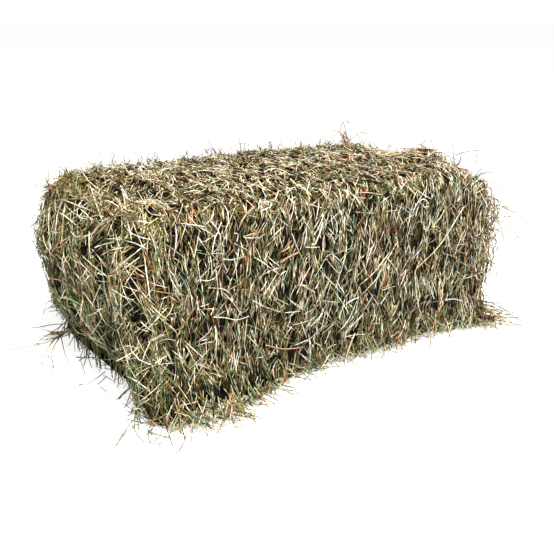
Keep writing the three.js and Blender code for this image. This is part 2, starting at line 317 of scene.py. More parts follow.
def lattice_noise(points, size, seed):
    """Smooth noise from -1 to 1 that changes over about size metres along X, Y and Z."""
    scaled = points / np.asarray(size)
    cell = np.floor(scaled).astype(np.int64)
    part = scaled - cell
    part = part * part * (3 - 2 * part)
    total = np.zeros(len(points))
    for corner in np.ndindex(2, 2, 2):
        key = cell + corner
        mixed = np.bitwise_xor.reduce(key * HASH_AXES, axis=1) ^ seed * HASH_SEED
        mixed = ((mixed ^ (mixed >> 13)) * HASH_MIX) & 0x7FFFFFFF
        value = (mixed % HASH_STEPS) / (HASH_STEPS / 2) - 1
        weight = np.prod(np.where(corner, part, 1 - part), axis=1)
        total += weight * value
    return total


def smooth_route(points, shares):
    """Points at the given shares of a smooth curve that passes through all the given points."""
    points = np.asarray(points, float)
    last = len(points) - 1
    padded = np.vstack([2 * points[0] - points[1], points, 2 * points[-1] - points[-2]])
    place = np.asarray(shares) * last
    start = np.minimum(place.astype(int), last - 1)
    t = (place - start)[:, None]
    a, b, c, d = (padded[start + step] for step in range(4))
    bend = (2 * a - 5 * b + 4 * c - d) * t**2
    twist = (3 * b - a - 3 * c + d) * t**3
    return 0.5 * (2 * b + (c - a) * t + bend + twist)


# The skin of the pressed hay, as a distance field


def belly(z):
    """How far an end swells at height z, as a share: nothing at its top and bottom edges."""
    return 1 - np.clip(np.abs(2 * z / HEIGHT - 1), 0, 1) ** 3


def pits(points):
    """How far points are into the pits of the left end, as a share."""
    away = np.linalg.norm(points[:, None, 1:] - PITS[None], axis=2).min(axis=1)
    return bell(away, PIT_WIDTH) * smooth_step(-points[:, 0], *LEFT_END_SPAN)


def foot_swell(points, facing):
    """How far the foot of the bale spreads at the near corner, and is tucked in at the far left."""
    x, y, z = points.T
    low = bell(z, FOOT_HEIGHT)
    front = FRONT_FOOT * bell(x - FRONT_FOOT_AT, FRONT_FOOT_WIDTH)
    front += RIGHT_FOOT * bell(x - RIGHT_FOOT_AT, RIGHT_FOOT_WIDTH)
    near = NEAR_CORNER_FOOT * smooth_step(-y, *NEAR_CORNER_SPAN)
    ragged = 1 + 0.5 * lattice_noise(points * [0, 1, 1], LEFT_TUCK_RAGS, 17)
    far = LEFT_TUCK * smooth_step(y, *LEFT_TUCK_SPAN) * ragged
    on_front = np.where(y < 0, facing[:, 1], 0)
    on_left = np.where(x < 0, facing[:, 0], 0)
    return low * (on_front * front + on_left * (near - far))


def skin_distance(points, sunk=1.0):
    """How far points are outside the skin of the pressed hay. sunk is how far the skin goes down
    into the twines' grooves and the joints, as a share."""
    x, y, z = points.T
    away = np.abs(points - CENTRE) - (HALF - EDGE_ROUND)
    outside = np.maximum(away, 0)
    reach = np.linalg.norm(outside, axis=1)
    block = reach + np.minimum(away.max(axis=1), 0) - EDGE_ROUND
    deepest = np.eye(3)[away.argmax(axis=1)]
    facing = np.where(reach[:, None] > 1e-9, outside / np.maximum(reach, 1e-9)[:, None], deepest)
    over = np.where(z > CENTRE[2], facing[:, 2], 0)
    under = np.where(z > CENTRE[2], 0, facing[:, 2])

    from_twine = np.abs(y) - TWINE_SPREAD
    pillow = np.where(x < 0, LEFT_PILLOW, RIGHT_PILLOW) * belly(z)
    pillow = pillow * (1 - PILLOW_LOSS * (np.abs(y) / HALF[1]) ** 4)
    valley = END_VALLEY_SHARE + END_VALLEY_SUNK_SHARE * sunk
    swell = facing[:, 0] * pillow * (1 - valley * bell(from_twine, END_VALLEY_WIDTH))
    swell += facing[:, 1] * SIDE_BULGE * np.sin(np.pi * np.clip(z / HEIGHT, 0, 1))
    swell += np.where(x < 0, facing[:, 0], 0) * BROW * bell(z - BROW_HEIGHT, BROW_WIDTH)
    swell += foot_swell(points, facing)
    crown = CROWN * np.cos(np.pi * y / (2 * HALF[1])) + TOP_SWELL - TOP_LEAN * x
    crown -= RIGHT_SLUMP * corner_share((x, -y), RIGHT_SLUMP_SPANS)
    for height, at_x, at_y, width_x, width_y in RIGHT_MOUNDS:
        crown += height * bell(x - at_x, width_x) * bell(y - at_y, width_y)
    swell += over * crown

    groove = over * TOP_GROOVE_DEPTH + (under + facing[:, 0]) * UNDER_GROOVE_DEPTH
    swell -= sunk * groove * bell(from_twine, GROOVE_WIDTH)
    to_joint = np.abs(x[:, None] - JOINTS[None, :]).min(axis=1)
    swell -= sunk * (facing[:, 1] + over) * CREASE_DEPTH * bell(to_joint, CREASE_WIDTH)
    lumps = lattice_noise(points, LUMP_SIZE, 3)
    lumps = lumps + SMALL_LUMP * lattice_noise(points, SMALL_LUMP_SIZE, 5)
    swell += (1 - under) * LUMP * lumps
    swell += np.abs(facing[:, 0]) * END_LUMP * lattice_noise(points, END_LUMP_SIZE, 7)
    swell -= np.abs(facing[:, 0]) * PIT_DEPTH * pits(points)
    swell -= FAR_CORNER_CUT * corner_share((-x, y, z), FAR_CORNER_SPANS)
    return block - swell


def skin_normal(points, sunk=1.0):
    step = 1.5 * MM
    here = skin_distance(points, sunk)
    slopes = [skin_distance(points + step * axis, sunk) - here for axis in np.eye(3)]
    return unit(np.stack(slopes, axis=1)), here


def settle(points, height, passes=2, sunk=1.0):
    """Moves points straight in or out until they stand at the given height over the skin."""
    for _ in range(passes):
        normal, here = skin_normal(points, sunk)
        points = points - normal * (here - height)[:, None]
    return points, normal


# Growing stems on the skin


def scatter_roots(face, count):
    """Points spread evenly over one face of the block."""
    points = rng.uniform(-1, 1, (count, 3)) * (HALF + EDGE_OVERLAP) + CENTRE
    points[:, face["axis"]] = CENTRE[face["axis"]] + face["side"] * HALF[face["axis"]]
    points[:, 2] = np.abs(points[:, 2])
    return points


def grain(points, normal, spread, stray):
    """The direction stems take along the skin. They lie in the planes of the flakes: up and down
    on the long sides, across on the top, and every way on the two ends."""
    along = np.cross(np.array([1.0, 0, 0]), normal)
    on_end = np.abs(normal[:, 0]) > END_FACING
    swirl = 0.5 * np.pi * smooth_step(points[:, 2], *SWIRL_HEIGHTS)
    swirl += SWIRL * lattice_noise(points, SWIRL_SIZE, 9)
    level = np.stack([np.zeros(len(points)), np.cos(swirl), np.sin(swirl)], axis=1)
    along = unit(np.where(on_end[:, None], np.cross(normal, level), along))
    lean = LEAN * lattice_noise(points, LEAN_SIZE, 12) + TOP_TURN * np.maximum(normal[:, 2], 0)
    angle = lean + rng.normal(0, 1, len(points)) * np.where(on_end, END_SPREAD, 1) * spread
    loose = rng.random(len(points)) < stray
    angle = np.where(loose, rng.uniform(-STRAY_TURN, STRAY_TURN, len(points)), angle)
    return turned(along, normal, angle)


def stations(rings):
    """Shares of the length at which a stem has its points: its two tips and its rings."""
    inner = np.linspace(0.04, 0.96, rings) if rings > 2 else np.array([0.18, 0.8])
    return np.concatenate([[0], inner, [1]])


def walk(roots, heading, length, shares, rise, turn, sunk):
    """Walks each stem along the skin. rise gives its height over the skin at each share."""
    points, normal = settle(roots, rise[:, 0], sunk=sunk)
    heading = unit(heading - normal * np.sum(heading * normal, axis=1, keepdims=True))
    path = [points]
    normals = [normal]
    for index in range(1, len(shares)):
        gap = shares[index] - shares[index - 1]
        heading = turned(heading, normal, turn * gap)
        points = points + heading * (length * gap)[:, None]
        points, normal = settle(points, rise[:, index], passes=1, sunk=sunk)
        heading = unit(heading - normal * np.sum(heading * normal, axis=1, keepdims=True))
        path.append(points)
        normals.append(normal)
    return np.stack(path, axis=1), np.stack(normals, axis=1)


# How high the loose stems arch and the tips of the fringe are lifted at most, and how deep their
# roots dip, in millimetres
ARCH = 7
END_ARCH = 20
LIFT = 9
EDGE_LIFT = 24
END_LIFT = 36
LEAST_LIFT = 3
LOOSE_ROOT_DIP = 7
FRINGE_ROOT_DIP = 6


def rise_of(name, count, shares, on_end, at_edge):
    """Height over the skin along each stem, in millimetres."""
    t = shares[None, :]
    layer = LAYERS[name]
    base = between(layer["height"], count)[:, None]
    phase = rng.uniform(0, 2 * np.pi, count)[:, None]
    pace = rng.uniform(0.6, 1.4, count)[:, None]
    rise = base + layer["wave"] * np.sin(phase + 2 * np.pi * pace * t)
    if name == "loose":
        most = np.where(on_end, END_ARCH, ARCH)
        arch = rng.uniform(0, 1, count)[:, None] ** 2 * most[:, None]
        dip = rng.uniform(0, LOOSE_ROOT_DIP, count)[:, None]
        rise = rise + arch * np.sin(np.pi * t) - dip * (1 - t) ** 3
    if name == "fringe":
        most = np.where(on_end, END_LIFT, np.where(at_edge, EDGE_LIFT, LIFT))
        lift = (rng.uniform(0, 1, count) ** 1.8 * most + LEAST_LIFT)[:, None]
        rise = rise - FRINGE_ROOT_DIP * (1 - t) ** 3 + lift * t**1.7
    return rise


# How much locks differ in lightness and hue, and how their stems lie in them: the spread across a
# lock, the slide along it as a share of the stems' length, and the turn in radians
LOCK_SHADE = 0.35
LOCK_HUE = 0.12
LOCK_WIDTH = 4.5 * MM
LOCK_SLIDE = 0.35
LOCK_TURN = 0.12


def place_locks(name):
    """Roots, headings and shades of a layer's stems, which lie together in locks."""
    layer = LAYERS[name]
    area = {}
    for key, face in FACES.items():
        if key not in layer.get("faces", FACES):
            continue
        sides = [HALF[axis] * 2 for axis in range(3) if axis != face["axis"]]
        area[key] = sides[0] * sides[1] * face["cover"]
    locks = layer["count"] / layer["lock"] / sum(area.values())
    centres = np.concatenate([scatter_roots(FACES[key], int(locks * area[key])) for key in area])
    count = len(centres) * layer["lock"]
    centres, normal = settle(centres, np.zeros(len(centres)))
    heading = grain(centres, normal, layer["spread"], layer["stray"])
    shade = rng.normal(0, LOCK_SHADE, len(centres))
    hue = rng.normal(0, LOCK_HUE, len(centres))

    owner = np.repeat(np.arange(len(centres)), layer["lock"])
    aside = np.cross(normal, heading)[owner]
    mean_length = sum(layer["length"]) / 2 * MM
    roots = centres[owner] + aside * rng.normal(0, LOCK_WIDTH, (count, 1))
    roots = roots + heading[owner] * rng.normal(0, LOCK_SLIDE * mean_length, (count, 1))
    flip = np.where(rng.random(count) < 0.5, np.pi, 0)
    heading = turned(heading[owner], normal[owner], rng.normal(0, LOCK_TURN, count) + flip)
    return roots, heading, shade[owner], hue[owner]


# How much stems differ in red and in blue, and the most blue that one can have
RED_SPREAD = 0.065
BLUE_SPREAD = 0.15
MOST_BLUE = 1.12


def colour_cast(count):
    """What each stem's red, green and blue are multiplied by: some are yellower than others."""
    red = rng.normal(1, RED_SPREAD, count)
    blue = np.exp(rng.normal(0, BLUE_SPREAD, count))
    return np.stack([red, np.ones(count), np.minimum(blue, MOST_BLUE)], axis=1)


# How much redder and less blue the hay is in places, and how much more or less green
TOP_RED = 0.04
TOP_YELLOW = 0.06
LEFT_YELLOW = 0.12
LEFT_GREEN = 0.16
PATCH_GREEN = 0.1
RIGHT_LOSS = 0.14
TOP_LOSS = 0.06

# Where the hay's colour and lightness change, how large their patches are, and how far the lightness is
# raised or lowered there: painted light on the top, painted shade near the floor, at the near corner and
# in the pits
LOW_LEFT_SPANS = ((0.36, 0.44), (-0.25, -0.05))
RIGHT_SPAN = (0.3, 0.44)
NEAR_CORNER_SPANS = ((0.2, 0.36), (0.08, 0.22), (-0.16, -0.05))
HUE_PATCH = (0.06, 0.08, 0.12)
TONE_PATCH = (0.05, 0.1, 0.1)
TONE_DEPTH = 0.3
END_TONE_DEPTH = 0.7
# Painted light: how much lighter the top is away from its edges, and the spans for that
PAINTED_TOP_LIGHT = 0.38
PAINTED_TOP_LIGHT_SPANS = ((0.38, 0.39), (0, 0.04))
# Painted shade near the floor: the lightness left at the floor, and the height where it ends
FLOOR_SHADE = 0.36
FLOOR_SHADE_HEIGHT = 0.11
# Painted shade at the low near corner: how much darker it is there
CORNER_SHADE = 0.34
# Painted shade in the pits of the left end: how much darker they are
PIT_SHADE = 0.8


def local_cast(points):
    """The hay is warmer and yellower on the top and on the left end."""
    over = smooth_step(points[:, 2], *TOP_SPAN)
    left = smooth_step(-points[:, 0], *LEFT_END_SPAN)
    blue = 1 - TOP_YELLOW * over - LEFT_YELLOW * left
    return np.stack([1 + TOP_RED * over, np.ones(len(points)), blue], axis=1)


def local_hue(points):
    """How much greener the hay is: more so low on the left end, less on the top and to the right."""
    x, _, z = points.T
    left = corner_share((-x, -z), LOW_LEFT_SPANS)
    right = smooth_step(x, *RIGHT_SPAN)
    over = smooth_step(z, *TOP_SPAN)
    patches = lattice_noise(points, HUE_PATCH, 14)
    return LEFT_GREEN * left - RIGHT_LOSS * right - TOP_LOSS * over + PATCH_GREEN * patches


def local_tone_and_painted_light(points):
    """How light the hay is: in patches, with painted light on the top, and painted shade near the floor,
    more so at the near corner, and in the pits.
    """
    x, y, z = points.T
    patches = lattice_noise(points, TONE_PATCH, 15)
    depth = np.where(np.abs(x) > HALF[0] - ON_FACE, END_TONE_DEPTH, TONE_DEPTH)
    inside = (HALF[:2] - np.abs(points[:, :2])).min(axis=1)
    over = 1 + PAINTED_TOP_LIGHT * corner_share((z, inside), PAINTED_TOP_LIGHT_SPANS)
    floor = FLOOR_SHADE + (1 - FLOOR_SHADE) * smooth_step(z, 0, FLOOR_SHADE_HEIGHT)
    corner = 1 - CORNER_SHADE * corner_share((-x, -y, -z), NEAR_CORNER_SPANS)
    return over * floor * corner * np.exp(depth * patches) * (1 - PIT_SHADE * pits(points))


def grow_layer(name):
    """All the stems of one layer, as a dictionary of arrays."""
    layer = LAYERS[name]
    roots, heading, shade, hue = place_locks(name)
    count = len(roots)
    shares = stations(layer["rings"])
    on_end = np.abs(roots[:, 0]) > HALF[0] - ON_FACE
    on_top = roots[:, 2] > HEIGHT - ON_FACE
    stretch = np.where(on_end, END_LENGTH, np.where(on_top, TOP_LENGTH, 1))
    length = between(layer["length"], count) * MM * stretch
    at_edge = (np.abs(roots - CENTRE) > HALF - BESIDE_EDGE).sum(axis=1) > 1
    bend = ARC_BEND if name == "arcs" else BEND
    turn = rng.normal(0, bend, count) * np.where(on_end, END_BEND, 1)
    rise = rise_of(name, count, shares, on_end, at_edge)
    start = roots - heading * (length * 0.5)[:, None]
    sunk = BRIDGED if name in BRIDGING else 1.0
    path, normals = walk(start, heading, length, shares, rise * MM, turn, sunk)
    width = between(layer["width"], count) * MM
    path[:, 1:-1] = 0.5 * path[:, 1:-1] + 0.25 * (path[:, :-2] + path[:, 2:])
    path[:, :, 2] = np.maximum(path[:, :, 2], 0.6 * width[:, None])

    tone = layer["tone"] * local_tone_and_painted_light(roots) * np.exp(shade + rng.normal(0, TONE_SPREAD, count))
    kind = np.clip(rng.random(count) * 0.9 + 0.05 + hue + local_hue(roots), 0, 1)
    pale = rng.normal(PALE_KIND, PALE_KIND_SPREAD, count)
    kind = np.where(tone > PALE_TONE, pale, kind)
    # Painted shade: each point of a stem is darkened by how far it dips under the skin.
    depth_shade = DARK_SHARE + (1 - DARK_SHARE) * smooth_step(rise, DARK_HEIGHT, LIGHT_HEIGHT)
    return dict(
        path=path,
        normals=normals,
        shares=shares,
        width=width,
        thick=np.where(rng.random(count) < layer["flat"], BLADE, STEM),
        roll=rng.normal(0, 0.6, count),
        kind=kind,
        tone=np.clip(tone, 0.04, 1.5)[:, None] * depth_shade,
        cast=colour_cast(count) * local_cast(roots),
    )


# Stems that stand out in the photograph, by the pixels they pass through. Each has a kind, a
# lightness and a width in millimetres.

FRONT_STEMS = dict(
    fork_left=(0.52, 1.5, 3.4, [
        (209.6, 219.8), (218.2, 230.6), (215.6, 235.7), (214.3, 241.5), (211.8, 254.2),
    ]),
    fork_right=(0.52, 1.5, 3.0, [(221.7, 221.7), (218.2, 230.6), (220.4, 235.7), (220.4, 242)]),
    fork_long=(0.55, 1.4, 2.8, [(188.5, 216), (198, 226), (207, 231), (214.7, 236.4)]),
    pink_arc=(0.26, 1.5, 3.0, [(256, 206), (247, 213), (241, 223), (238, 231)]),
    fan_left=(0.5, 1.3, 2.6, [(262.5, 202), (261, 209), (262.2, 218)]),
    fan_right=(0.6, 1.4, 2.8, [(265, 208), (271, 218.5), (274, 227), (274, 241)]),
    hook=(0.5, 1.5, 2.6, [(234, 233), (238, 234.5), (237, 242)]),
    rose_bit=(0.2, 1.4, 3.0, [(243, 237), (249, 235), (255.5, 233)]),
    sage_bit=(0.66, 1.5, 3.0, [(244, 237.6), (252, 238), (259, 237.6)]),
    sage_blade=(0.7, 1.3, 4.0, [(223, 259), (230, 260), (236, 259), (241, 257.5)]),
    rust_leaf=(0.14, 1.4, 5.0, [(244.6, 256), (246, 260), (246, 265)]),
    pale_arch=(0.5, 1.4, 2.8, [(254, 257), (264, 263), (270, 267.6), (280, 275)]),
    pink_low=(0.24, 1.4, 2.6, [(299.5, 252), (289, 257), (280, 263)]),
    upright_1=(0.56, 1.3, 3.0, [(210, 256), (211.5, 264), (212, 276.5)]),
    upright_2=(0.6, 1.45, 3.4, [(216, 269.5), (217, 280), (218, 289), (216, 303)]),
    yellow_hook=(0.44, 1.5, 2.6, [(200, 280), (207, 281), (211, 280), (215, 278)]),
    short_pale=(0.52, 1.4, 2.6, [(220, 288), (225, 290), (229, 292.5)]),
    bright_strip=(0.5, 1.5, 4.4, [(323, 222), (321, 230), (318, 238), (315, 245)]),
    bright_cap=(0.5, 1.3, 3.0, [(305, 247), (312, 247.5), (320, 247)]),
    long_slope=(0.48, 1.2, 3.0, [(465, 205), (440, 245), (415, 270)]),
    slope_down=(0.5, 1.2, 2.8, [(415, 270), (417, 300), (425, 325)]),
    right_dash=(0.52, 1.5, 3.2, [(445, 300), (454, 299), (463, 301)]),
    orange_low=(0.18, 1.4, 3.2, [(265, 345), (285, 349), (305, 347)]),
    curl_a=(0.5, 1.5, 2.8, [(419, 203), (422, 199.5), (426, 200), (429, 204)]),
    curl_b=(0.5, 1.4, 2.6, [(423, 204), (425, 207), (430, 206)]),
    rose_upright=(0.2, 1.3, 3.4, [(288, 213), (289.5, 218), (290, 224)]),
    green_right=(0.8, 1.3, 3.4, [(347, 214), (352, 221), (356, 230)]),
    low_bow=(0.5, 1.4, 2.6, [(213, 317), (226, 318), (237, 320), (250, 316)]),
    low_slope=(0.46, 1.3, 2.6, [(252, 300), (263, 306), (274, 310), (281, 312)]),
    v_left=(0.5, 1.5, 2.8, [(301, 321), (304, 330), (307, 338)]),
    v_right=(0.58, 1.4, 2.6, [(323, 313), (317, 320), (310, 327)]),
)

END_STEMS = dict(
    top_slope=(0.5, 1.45, 3.4, [(60, 198.5), (78, 205.5), (92, 211), (101, 214)]),
    cross_1=(0.52, 1.4, 3.0, [(65, 216), (81, 207), (92.5, 198.5)]),
    cross_2=(0.46, 1.3, 2.8, [(78.5, 217), (85.5, 209), (93, 199)]),
    thick_white=(0.5, 1.5, 4.4, [(84, 198), (81, 202), (78.5, 205.5)]),
    edge_arc=(0.56, 1.5, 3.0, [(118.7, 229), (124, 223), (136.5, 221), (151, 223.4)]),
    long_bow=(0.6, 1.45, 3.0, [(104.6, 238.7), (117, 239), (133, 242.5), (147, 249)]),
    low_arch=(0.5, 1.4, 2.8, [(94, 247.6), (104.6, 244), (115, 242)]),
    wave=(0.48, 1.45, 3.2, [(70, 231), (76.6, 237), (92, 234), (101, 224.6), (108, 221.5), (116, 219)]),
    upright=(0.62, 1.35, 3.0, [(89.3, 231), (89, 244), (90.6, 260)]),
    short_slope=(0.5, 1.5, 3.0, [(124, 224.6), (128, 230), (132, 235)]),
    white_drop=(0.52, 1.5, 3.2, [(149, 232), (153, 240), (156, 250)]),
    low_slope=(0.5, 1.35, 3.0, [(116, 275), (129, 265), (140, 257)]),
    corner_bit=(0.46, 1.45, 2.8, [(104.6, 207), (112, 214.4), (115.5, 219.5)]),
    left_upright=(0.52, 1.4, 3.4, [(49.5, 206), (48.5, 220), (49, 235), (51, 250)]),
    green_low_1=(0.86, 1.2, 4.0, [(96, 300), (108, 296), (121, 298)]),
    green_low_2=(0.9, 1.1, 4.4, [(100, 338), (112, 330), (126, 333)]),
    pale_low_1=(0.5, 1.4, 3.0, [(84, 322), (97, 331), (106, 345)]),
    pale_low_2=(0.54, 1.4, 2.8, [(112, 352), (126, 346), (139, 349)]),
    rust_low=(0.14, 1.3, 4.0, [(88, 345), (96, 352), (100, 361)]),
)

TOP_STEMS = dict(
    white_bow=(0.5, 1.5, 3.2, [(120, 185), (125, 193), (129.5, 200), (144, 204)]),
    arch=(0.5, 1.45, 2.8, [(263.6, 172), (274, 168.5), (284.6, 171), (290.4, 175)]),
    short_white=(0.52, 1.5, 3.0, [(275, 200), (277, 195), (279, 189.5)]),
    tick=(0.48, 1.4, 2.6, [(262, 188), (264, 193), (267, 197)]),
)

# Stems that stand clear of the hay at the far top edge and the right end, in upright planes there
FAR_EDGE_STEMS = dict(
    pale_curl=(0.5, 0.7, 3.4, [(340, 136), (341, 126), (345, 121), (351, 123)]),
    rust_stub=(0.12, 1.1, 3.4, [(340.5, 134.5), (344, 139), (347, 147)]),
    upright_1=(0.42, 0.5, 2.2, [(102, 168), (101, 157), (100, 148)]),
    upright_2=(0.44, 0.5, 2.2, [(187, 158), (187, 148), (187, 138)]),
)
RIGHT_EDGE_STEMS = dict(
    thin_1=(0.36, 0.5, 2.2, [(376, 152), (379, 148), (389, 139)]),
    thin_2=(0.5, 0.55, 2.2, [(381, 153), (384, 148.6), (395, 143)]),
    orange=(0.16, 1.1, 3.2, [(387.5, 156), (413.5, 153), (438, 152)]),
    pale=(0.5, 0.8, 3.0, [(399, 148.6), (417, 148), (446, 150)]),
    pale_far=(0.5, 0.75, 3.0, [(454, 155), (470, 151), (491, 149.4)]),
    dark_hump=(0.02, 0.7, 3.0, [(421.6, 162), (438, 152), (455.6, 160)]),
    upright=(0.4, 0.5, 2.4, [(475, 164), (476, 158), (478, 150)]),
    level=(0.5, 0.6, 2.8, [(484, 172), (495, 173), (506, 175.4)]),
    green_1=(0.9, 0.8, 3.4, [(474, 177), (478, 172), (483, 166.4)]),
    green_2=(0.85, 0.8, 3.0, [(474, 177), (480, 174), (484.6, 173)]),
)
DRAPE_STEMS = dict(
    short_hook=(0.56, 0.6, 2.8, [(480, 180), (490, 182), (497, 184), (499, 194)]),
    middle_hook=(0.5, 0.7, 2.8, [(484, 199), (495, 200), (504, 203), (514, 214.6)]),
    yellow_spike=(0.4, 0.9, 3.2, [(482, 218), (501.6, 217), (515, 216.5), (528.4, 217)]),
    long_arc=(0.62, 0.5, 2.8, [(484, 214), (502.5, 220), (516, 234), (525, 248), (530, 259), (538, 300)]),
    bit_1=(0.4, 0.5, 2.4, [(490, 226), (500, 231), (506, 238)]),
    bit_2=(0.6, 0.5, 2.4, [(488, 214), (503, 224), (508, 235), (509.6, 248)]),
    low_arc=(0.56, 0.6, 2.6, [(486, 243), (501, 249), (514, 256), (523, 258)]),
)

# Stems that lie on the floor beside the bale
CORNER_FLOOR_STEMS = dict(
    dark=(0.02, 0.8, 3.2, [(164, 412), (166, 420), (168, 432), (173, 445.5)]),
    pale=(0.3, 0.9, 3.0, [(147, 397), (136, 409), (123, 421)]),
    green=(0.7, 0.9, 3.4, [(145, 408), (129, 425), (114.5, 447)]),
    dark_level=(0.04, 0.7, 3.0, [(126, 419), (146, 423), (168, 422.4)]),
    arc=(0.76, 0.7, 3.0, [(131.5, 423.6), (140, 438), (152, 443), (158, 437)]),
    yellow_green=(0.88, 1.2, 4.6, [(148.5, 432), (159, 435), (170, 438)]),
    short_1=(0.3, 1.0, 3.0, [(176, 424), (183, 432), (186, 441)]),
    short_2=(0.6, 0.6, 3.0, [(205, 416), (216, 424), (226, 424)]),
    short_3=(0.4, 0.7, 2.8, [(160, 405), (155, 418), (147, 426)]),
    short_4=(0.8, 1.0, 3.0, [(238, 409), (248, 416), (256, 414)]),
)
LEFT_FLOOR_STEMS = dict(
    pale_green=(0.7, 0.7, 3.0, [(29, 328), (40, 327), (53, 324.5), (71, 324)]),
    dark=(0.04, 0.8, 2.8, [(37.7, 341.5), (49, 334), (60.5, 331.5), (70.5, 331)]),
    grey=(0.7, 0.8, 2.6, [(22, 354), (31, 349), (39, 344)]),
    long=(0.6, 0.8, 2.6, [(22, 362), (40, 362.6), (56, 368), (69, 372)]),
    bow=(0.5, 0.6, 2.8, [(61, 336), (64, 350), (70, 366), (83, 369)]),
    hook=(0.4, 0.55, 2.6, [(43.5, 357), (54, 355), (56, 350)]),
    rust_1=(0.12, 1.2, 3.2, [(75.5, 357), (86, 358), (95, 357)]),
    rust_2=(0.1, 1.2, 3.0, [(65, 384), (77, 382), (80, 374)]),
    green=(0.86, 1.1, 3.2, [(78, 383), (84, 385), (94, 380), (106, 371)]),
    pale=(0.5, 0.65, 2.8, [(73, 390), (85, 379), (80, 358)]),
    dark_red=(0.02, 0.9, 3.0, [(97, 385), (103, 380), (107, 376)]),
    olive=(0.95, 1.0, 3.2, [(99.5, 386), (106, 391), (105, 396)]),
    rust_3=(0.1, 1.1, 3.2, [(118.6, 399.5), (124, 394), (129, 389)]),
)

# Planes that such stems lie in: the way each plane faces, and how far it is from the origin
FLOOR = (np.array([0, 0, 1.0]), 3 * MM)
FAR_EDGE = (np.array([0, 1.0, 0]), 245 * MM)
RIGHT_EDGE = (np.array([1.0, 0, 0]), 440 * MM)
DRAPE = (np.array([0.75, 0.66, 0]), 187.6 * MM)

# How these stems are made: rings of points, height over the skin, and what the lightness and
# width given for each are multiplied by. The skin is looked for along a ray in careful steps.
PHOTO_RINGS = 8
PHOTO_HEIGHT = 6 * MM
PHOTO_TONE = 0.92
PHOTO_WIDTH = 0.8
SKIN_STEPS = 90
SKIN_STEP = 0.6


def skin_hit(start, rays):
    """How far along each ray the skin is reached, or passed most closely, and if it is reached."""
    along = np.full(len(rays), 1.0)
    best = along.copy()
    nearest = np.full(len(rays), np.inf)
    for _ in range(SKIN_STEPS):
        gap = skin_distance(start + rays * along[:, None], BRIDGED) - PHOTO_HEIGHT
        nearer = gap < nearest
        best = np.where(nearer, along, best)
        nearest = np.where(nearer, gap, nearest)
        along = along + np.maximum(gap, 0) * SKIN_STEP
    return best, nearest < 1 * MM


def photo_route(pixels, plane):
    """Points over the skin, or on a plane where that comes first, that are seen at the pixels."""
    start, rays = pixel_rays(pixels)
    along, hit = skin_hit(start, rays)
    if plane is not None:
        to_plane = (plane[1] - plane[0] @ start) / (rays @ plane[0])
        along = np.where(hit, np.minimum(along, to_plane), to_plane)
    return start + rays * along[:, None]


def photo_stems(stems, plane=None):
    """The stems of one of the tables above, as a dictionary of arrays."""
    shares = stations(PHOTO_RINGS)
    path = []
    for _, _, _, pixels in stems.values():
        path.append(smooth_route(photo_route(pixels, plane), shares))
    looks = [(kind, PHOTO_TONE * tone, PHOTO_WIDTH * width) for kind, tone, width, _ in stems.values()]
    return routed_stems(np.stack(path), looks, shares, np.ones((len(looks), 3)))


def routed_stems(path, looks, shares, cast=None):
    """Stems along given paths. Each look is a kind, a lightness and a width in millimetres."""
    kind, tone, width = np.array(looks).T
    count, many, _ = path.shape
    width = width * MM
    path[:, :, 2] = np.maximum(path[:, :, 2], 0.6 * width[:, None])
    normals, _ = skin_normal(path.reshape(-1, 3), BRIDGED)
    return dict(
        path=path,
        normals=normals.reshape(count, many, 3),
        shares=shares,
        width=width,
        thick=np.full(count, STEM),
        roll=np.zeros(count),
        kind=kind,
        tone=np.repeat(tone[:, None], many, axis=1),
        cast=colour_cast(count) if cast is None else cast,
    )


# Turning stems into meshes


def ring_width(shares, thick):
    """Width along a stem as a share: a blade tapers to its tip and a stem ends blunt."""
    t = shares[None, :]
    blade = np.sqrt(np.clip(1 - t**2.2, 0, 1)) * (0.6 + 0.4 * np.sin(np.pi * np.clip(t * 1.3, 0, 1)))
    stem = 1 - 0.35 * t
    return np.where(thick[:, None] == BLADE, blade, stem)


def stem_points(stems):
    """Every vertex of every stem: a tip, three points for each ring, and a tip."""
    path = stems["path"]
    count = len(path)
    along = unit(np.gradient(path, axis=1))
    across = unit(np.cross(stems["normals"], along))
    out = np.cross(along, across)
    roll = stems["roll"][:, None, None]
    side = across * np.cos(roll) + out * np.sin(roll)
    up = out * np.cos(roll) - across * np.sin(roll)
    width = (stems["width"][:, None] * ring_width(stems["shares"], stems["thick"]))[:, :, None]
    thick = width * stems["thick"][:, None, None]
    corners = [(-0.5, -0.35), (0.5, -0.35), (0.0, 0.65)]
    rings = np.stack([path + side * width * a + up * thick * b for a, b in corners], axis=2)[:, 1:-1]
    points = np.concatenate([path[:, :1], rings.reshape(count, -1, 3), path[:, -1:]], axis=1)
    points[:, :, 2] = np.maximum(points[:, :, 2], 0.2 * MM)
    return points


def stem_faces(rings):
    """One stem's triangles and quads, as places in its list of vertices."""
    last = rings * 3 + 1
    end = 1 + (rings - 1) * 3
    triangles = [(0, 1 + (side + 1) % 3, 1 + side) for side in range(3)]
    triangles += [(last, end + side, end + (side + 1) % 3) for side in range(3)]
    quads = []
    for ring in range(rings - 1):
        a = 1 + ring * 3
        for side in range(3):
            b = (side + 1) % 3
            quads.append((a + side, a + b, a + 3 + b, a + 3 + side))
    return np.array(triangles), np.array(quads)


def stem_map(rings, shares):
    """One stem's place in its cell of the bake map: along it to the right, its sides upward."""
    def row(side, edge):
        return (side + SIDE_MARGIN + (1 - 2 * SIDE_MARGIN) * edge) / 3

    run = TIP_MARGIN + (1 - 2 * TIP_MARGIN) * shares
    corners = []
    for side in range(3):
        corners += [(run[0], row(side, 0.5)), (run[1], row(side, 1)), (run[1], row(side, 0))]
    for side in range(3):
        corners += [(run[-1], row(side, 0.5)), (run[-2], row(side, 0)), (run[-2], row(side, 1))]
    for ring in range(rings - 1):
        low, high = run[ring + 1], run[ring + 2]
        for side in range(3):
            below, above = row(side, 0), row(side, 1)
            corners += [(low, below), (low, above), (high, above), (high, below)]
    return np.array(corners)


